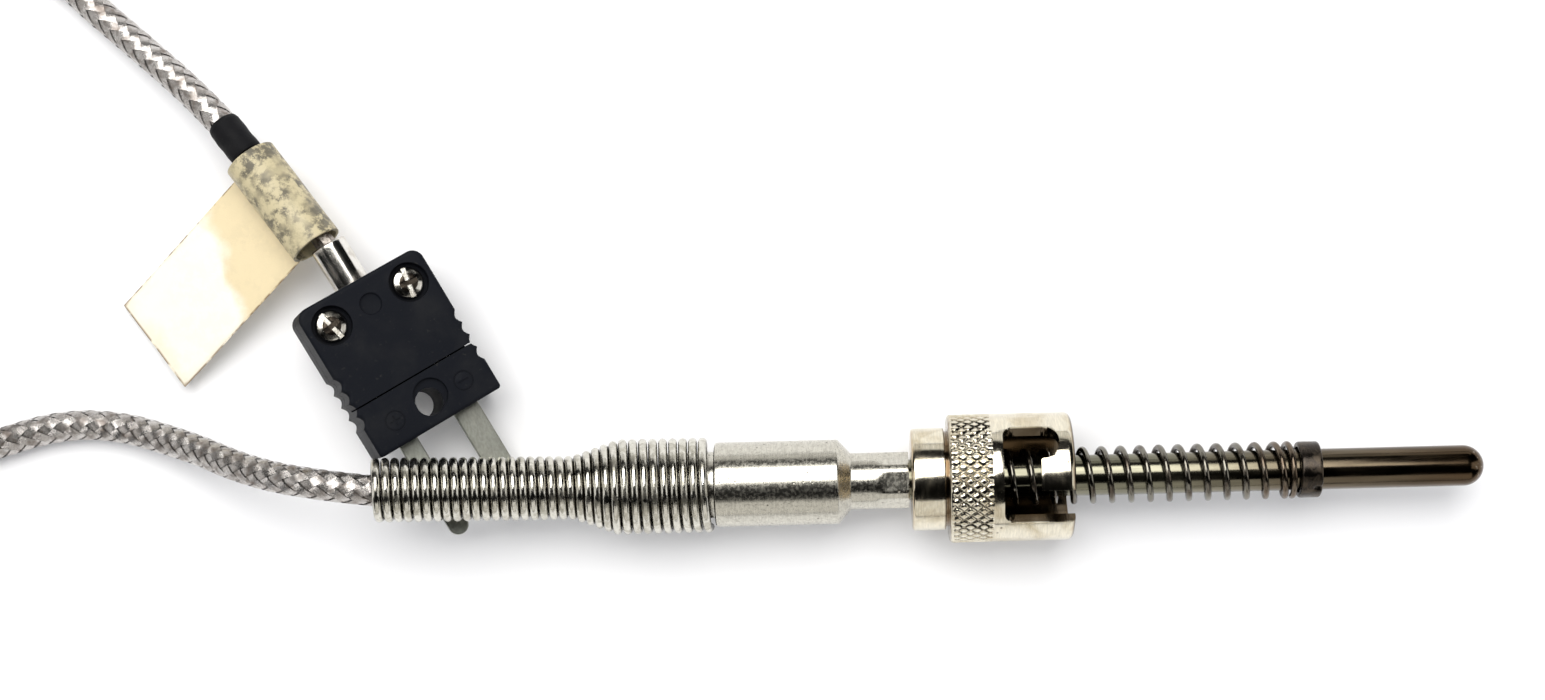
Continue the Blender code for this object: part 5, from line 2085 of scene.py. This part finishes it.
    def half_piece(self, name: str, node: str, cuts: Sequence[Shape]) -> Piece:
        """One half of the plug: the whole block with these cuts, its top edges rounded.

        Args:
            name: the piece's name.
            node: the CAD node that it stands for.
            cuts: what is cut away, in the plug's own frame.

        Returns:
            The half, in its place.
        """
        shape = raised(self.outline(), edge_levels(-self.below, self.above, self.edge), shrink=True)
        made = self.shop.cut(name, shape, cuts, bevel=edges_beyond(2, self.above - 0.02 * MM),
                             width=self.top_bevel)
        made.data.transform(as_matrix(self.matrix))
        return self.shop.finish_cut(made, PLUG_PLASTIC, "black_plastic", [node])

    def lower_half(self) -> Piece:
        """The lower half with its full-height front block, the key hole and the pole marks.

        Returns:
            The half, in its place.
        """
        far = 2 * self.length
        cuts = [box_shape((-far, self.block - self.split / 2, -self.parting), (far, far, far))]
        cuts += self.shared_cuts(self.cavity_low, far)
        cuts.append(self.round_cutter(0, self.hole_v, self.hole, -far, far, 64))
        for s in (-1, 1):
            cuts.append(self.round_cutter(s * self.screw_u, self.screw_v, self.screw_hole,
                                          self.screw_hole_low, far, 24))
        cuts += self.marks()
        u, v = self.dish_off
        floor = self.above - self.dish_depth
        cuts.append(self.round_cutter(u, self.hole_v + v, self.dish_radius, floor, far))
        return self.half_piece("plug_lower_half", "plug_base", cuts)

    def marks(self) -> list[Shape]:
        """Shallow grooves on the front block: a ring round a plus and one round a minus.

        Returns:
            The cutters.
        """
        top = self.above + self.clear
        floor = self.above - self.mark_depth
        inner, outer = self.mark_ring
        ring = np.array([(floor, inner), (floor, outer), (top, outer), (top, inner)])
        half, line = self.mark_half, self.mark_line
        cuts = []
        for side in Side:
            u, v = side.value * self.mark_at[0], self.mark_at[1]
            cuts.append(self.standing(ring, u, v))
            cuts.append(box_shape((u - half, v - line, floor), (u + half, v + line, top)))
            if side is Side.POSITIVE:
                cuts.append(box_shape((u - line, v - half, floor + 0.001 * MM), (u + line, v + half, top)))
        return cuts

    def upper_half(self) -> Piece:
        """The cover, with two counterbores and the moulding dimple between them.

        Returns:
            The half, in its place.
        """
        far = 2 * self.length
        cuts = [box_shape((-far, -far, -far), (far, far, self.parting)),
                box_shape((-far, -far, -far), (far, self.block + self.split / 2, far))]
        cuts += self.shared_cuts(-far, self.cavity_high)
        seat = self.above - self.counterbore_depth
        for s in (-1, 1):
            for radius, low, sides in ((self.screw_hole, -far, 24), (self.counterbore, seat, 64)):
                cuts.append(self.round_cutter(s * self.screw_u, self.screw_v, radius, low, far, sides))
        floor, top = self.above - 0.35 * MM, self.above + self.clear
        bowl = fillet([(floor, 0, 0), (floor, self.dimple, 0.22 * MM), (top, self.dimple, 0), (top, 0, 0)])
        cuts.append(self.standing(bowl, 0.0, self.screw_v))
        return self.half_piece("plug_upper_half", "plug_cover", cuts)

    def blade(self, side: Side) -> Piece:
        """A pin: a flat blade with a round end, and its wider tab inside the plug.

        Args:
            side: which pole it is.

        Returns:
            The pin.
        """
        u = side.value * self.pin_u
        half = self.pin_half(side)
        shoulder = self.cavity_start + 0.6 * MM
        back = self.cavity_end - 2.2 * MM
        corners = [
            (0, -self.pin_length, 0), (half, -self.pin_length, half * 0.98),
            (half, shoulder, self.tab_edge), (self.tab / 2, shoulder, self.tab_edge),
            (self.tab / 2, back, self.tab_edge), (0, back, 0),
        ]
        right = fillet(corners, steps=8)[1:-1]
        outline = densify(np.vstack([right, right[::-1] * (-1, 1)]), 1.2 * MM)
        thick = self.pin_thickness / 2
        shape = raised(outline, edge_levels(-thick, thick, 0.14 * MM, 3))
        shape.points += (u, 0.0, 0.0)
        shape.placed(self.matrix)
        return self.shop.piece(f"blade_{side.label}", shape, ALLOYS[side], f"{side.label}_alloy",
                               [f"pin_{side.label}"])

    def screw(self, side: Side) -> Piece:
        """A cover screw: a domed head with a slot and a cross, and its shank.

        Args:
            side: which pole it is beside.

        Returns:
            The screw.
        """
        seat = self.above - self.counterbore_depth + 0.15 * MM
        top = seat + 1.0 * MM
        bottom = seat - self.shank_length
        corners = [
            (bottom, 0, 0), (bottom, self.shank, 0.2 * MM), (seat, self.shank, 0),
            (seat, self.head, 0.1 * MM), (top - 0.42 * MM, self.head, 0.35 * MM),
            (top, 0.9 * MM, 1.5 * MM), (top + 0.02 * MM, 0, 0),
        ]
        shape = revolve(densify(fillet(corners, steps=6), 0.3 * MM), 56).placed(UPRIGHT)
        floor, over = top - self.recess_depth, top + self.clear
        wide, long, cross = self.recess_half, 2 * self.head, self.cross_half
        cuts = [box_shape((-wide, -long, floor), (wide, long, over)),
                box_shape((-cross, -wide, floor - 0.001 * MM), (cross, wide, over))]
        made = self.shop.cut(f"screw_{side.label}", shape, cuts, sharp=32,
                             bevel=edges_beyond(2, floor + 0.05 * MM), width=0.07 * MM)
        turn = math.radians(14 if side is Side.POSITIVE else -9)
        cos, sin = math.cos(turn), math.sin(turn)
        local = axes((side.value * self.screw_u, self.screw_v, 0.0), (cos, sin, 0), (-sin, cos, 0), (0, 0, 1))
        self.shade_recess(made.data, floor - 0.02 * MM)
        made.data.transform(as_matrix(self.matrix @ local))
        return self.shop.finish_cut(made, SCREW_STEEL, "bright_steel", [f"cover_screw_{side.label}"],
                                    inside=SHADED_RECESS_STEEL)

    @staticmethod
    def shade_recess(mesh: bpy.types.Mesh, low: float) -> None:
        """Gives the second material, a dark steel that is painted shade, to the faces of the recess and round
        it.

        Args:
            mesh: the screw's mesh, in its own frame.
            low: just under the recess's floor.
        """
        middles = np.zeros(len(mesh.polygons) * 3, np.float32)
        mesh.polygons.foreach_get("center", middles)
        middles = middles.reshape(-1, 3)
        near = np.hypot(middles[:, 0], middles[:, 1]) < 1.05 * MM
        inside = near & (middles[:, 2] > low)
        mesh.polygons.foreach_set("material_index", inside.astype(np.int32))

    def crimp_tube(self) -> Piece:
        """The plated tube that grips the lead in the plug's end.

        Returns:
            The tube.
        """
        ends = (self.cavity_end + self.tube_start, self.length + self.tube_shown)
        corners = band_corners(ends, (self.tube_inner, self.tube_outer), self.tube_edges)
        profile = closed_profile(corners, 0.4 * MM)
        shape = revolve(profile, 64).placed(LENGTHWAYS).placed(self.matrix)
        return self.shop.piece("crimped_tube", shape, TUBE_NICKEL, "crimp_nickel", ["crimp_tube"])


def as_matrix(matrix: Array) -> Matrix:
    """A 4x4 array as the matrix that a mesh's transform takes."""
    return Matrix(matrix.tolist())


# ---------------------------------------------------------------- the studio


@dataclass
class Studio:
    """The floor, the lights and the camera."""

    camera_at: Triple = (-0.0081, 0.01543, 0.260)
    camera_turn: float = math.radians(-1.5)
    lens: float = 50.0
    shift: float = -0.0534
    floor_size: float = 8.0

    def build(self) -> None:
        """Sets everything up."""
        self.floor()
        self.light("key", (-0.05, 0.235, 0.45), (0.50, 0.36), 4.9, (1.0, 0.99, 0.975))
        self.light("fill", (0.0, -0.50, 0.225), (0.9, 0.42), 0.90, (1.0, 0.975, 0.935))
        self.light("back", (0.0, 0.54, 0.095), (0.9, 0.15), 0.85, (1.0, 0.985, 0.955))
        for name, x in (("left", -0.62), ("right", 0.62)):
            self.light(name, (x, 0.0, 0.22), (0.36, 0.8), 1.0, (1.0, 0.99, 0.98))
        world = bpy.data.worlds.new("studio")
        world.use_nodes = True
        world.node_tree.nodes["Background"].inputs["Color"].default_value = (0.9, 0.93, 1.0, 1.0)
        world.node_tree.nodes["Background"].inputs["Strength"].default_value = 0.50
        world.cycles_visibility.glossy = False
        bpy.context.scene.world = world
        camera = bpy.data.objects.new("camera", bpy.data.cameras.new("camera"))
        camera.data.lens = self.lens
        camera.data.shift_x = self.shift
        camera.data.clip_start = 0.01
        camera.location = self.camera_at
        camera.rotation_euler = (0.0, 0.0, self.camera_turn)
        bpy.context.scene.collection.objects.link(camera)
        bpy.context.scene.camera = camera
        bpy.context.scene.view_settings.view_transform = "Standard"

    def floor(self) -> None:
        """A wide plain floor just under the object."""
        half = self.floor_size / 2
        corners = [(-half, -half, 0), (half, -half, 0), (half, half, 0), (-half, half, 0)]
        mesh = bpy.data.meshes.new("floor")
        mesh.from_pydata(corners, [], [(0, 1, 2, 3)])
        floor = bpy.data.objects.new("floor", mesh)
        graph = Graph("pale floor")
        cloud = graph.noise(30.0, 3.0)
        colour = graph.blend(cloud, (0.88, 0.875, 0.87), (0.91, 0.905, 0.90))
        mesh.materials.append(graph.done(colour, 0.7, None, 0.0))
        bpy.context.scene.collection.objects.link(floor)

    def light(self, name: str, place: Triple, size: Pair,
              brightness: float, colour: Colour) -> None:
        """An area light that faces the probe.

        Args:
            name: the light's name.
            place: where it is.
            size: its size along x and across.
            brightness: how bright its face looks, so its power is this times its area and pi.
            colour: its colour.
        """
        data = bpy.data.lights.new(name, "AREA")
        data.shape = "RECTANGLE"
        data.size, data.size_y = size
        data.energy = brightness * math.pi * size[0] * size[1]
        data.color = colour
        made = bpy.data.objects.new(name, data)
        made.location = place
        away = Vector(place) - Vector((0.0, 0.01, 0.0))
        made.rotation_euler = away.to_track_quat("Z", "Y").to_euler()
        bpy.context.scene.collection.objects.link(made)


def main() -> None:
    """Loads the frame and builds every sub-assembly."""
    logging.basicConfig(level=logging.INFO, format="%(message)s")
    shop = Workshop(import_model())
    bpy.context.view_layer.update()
    Studio().build()
    Sheath(shop).build()
    Cap(shop).build()
    relief = Relief(shop)
    relief.build()
    carried = Sleeves(shop).build() + Plug(shop).build()
    Lead(shop, relief).build(carried)


if __name__ == "__main__":
    main()
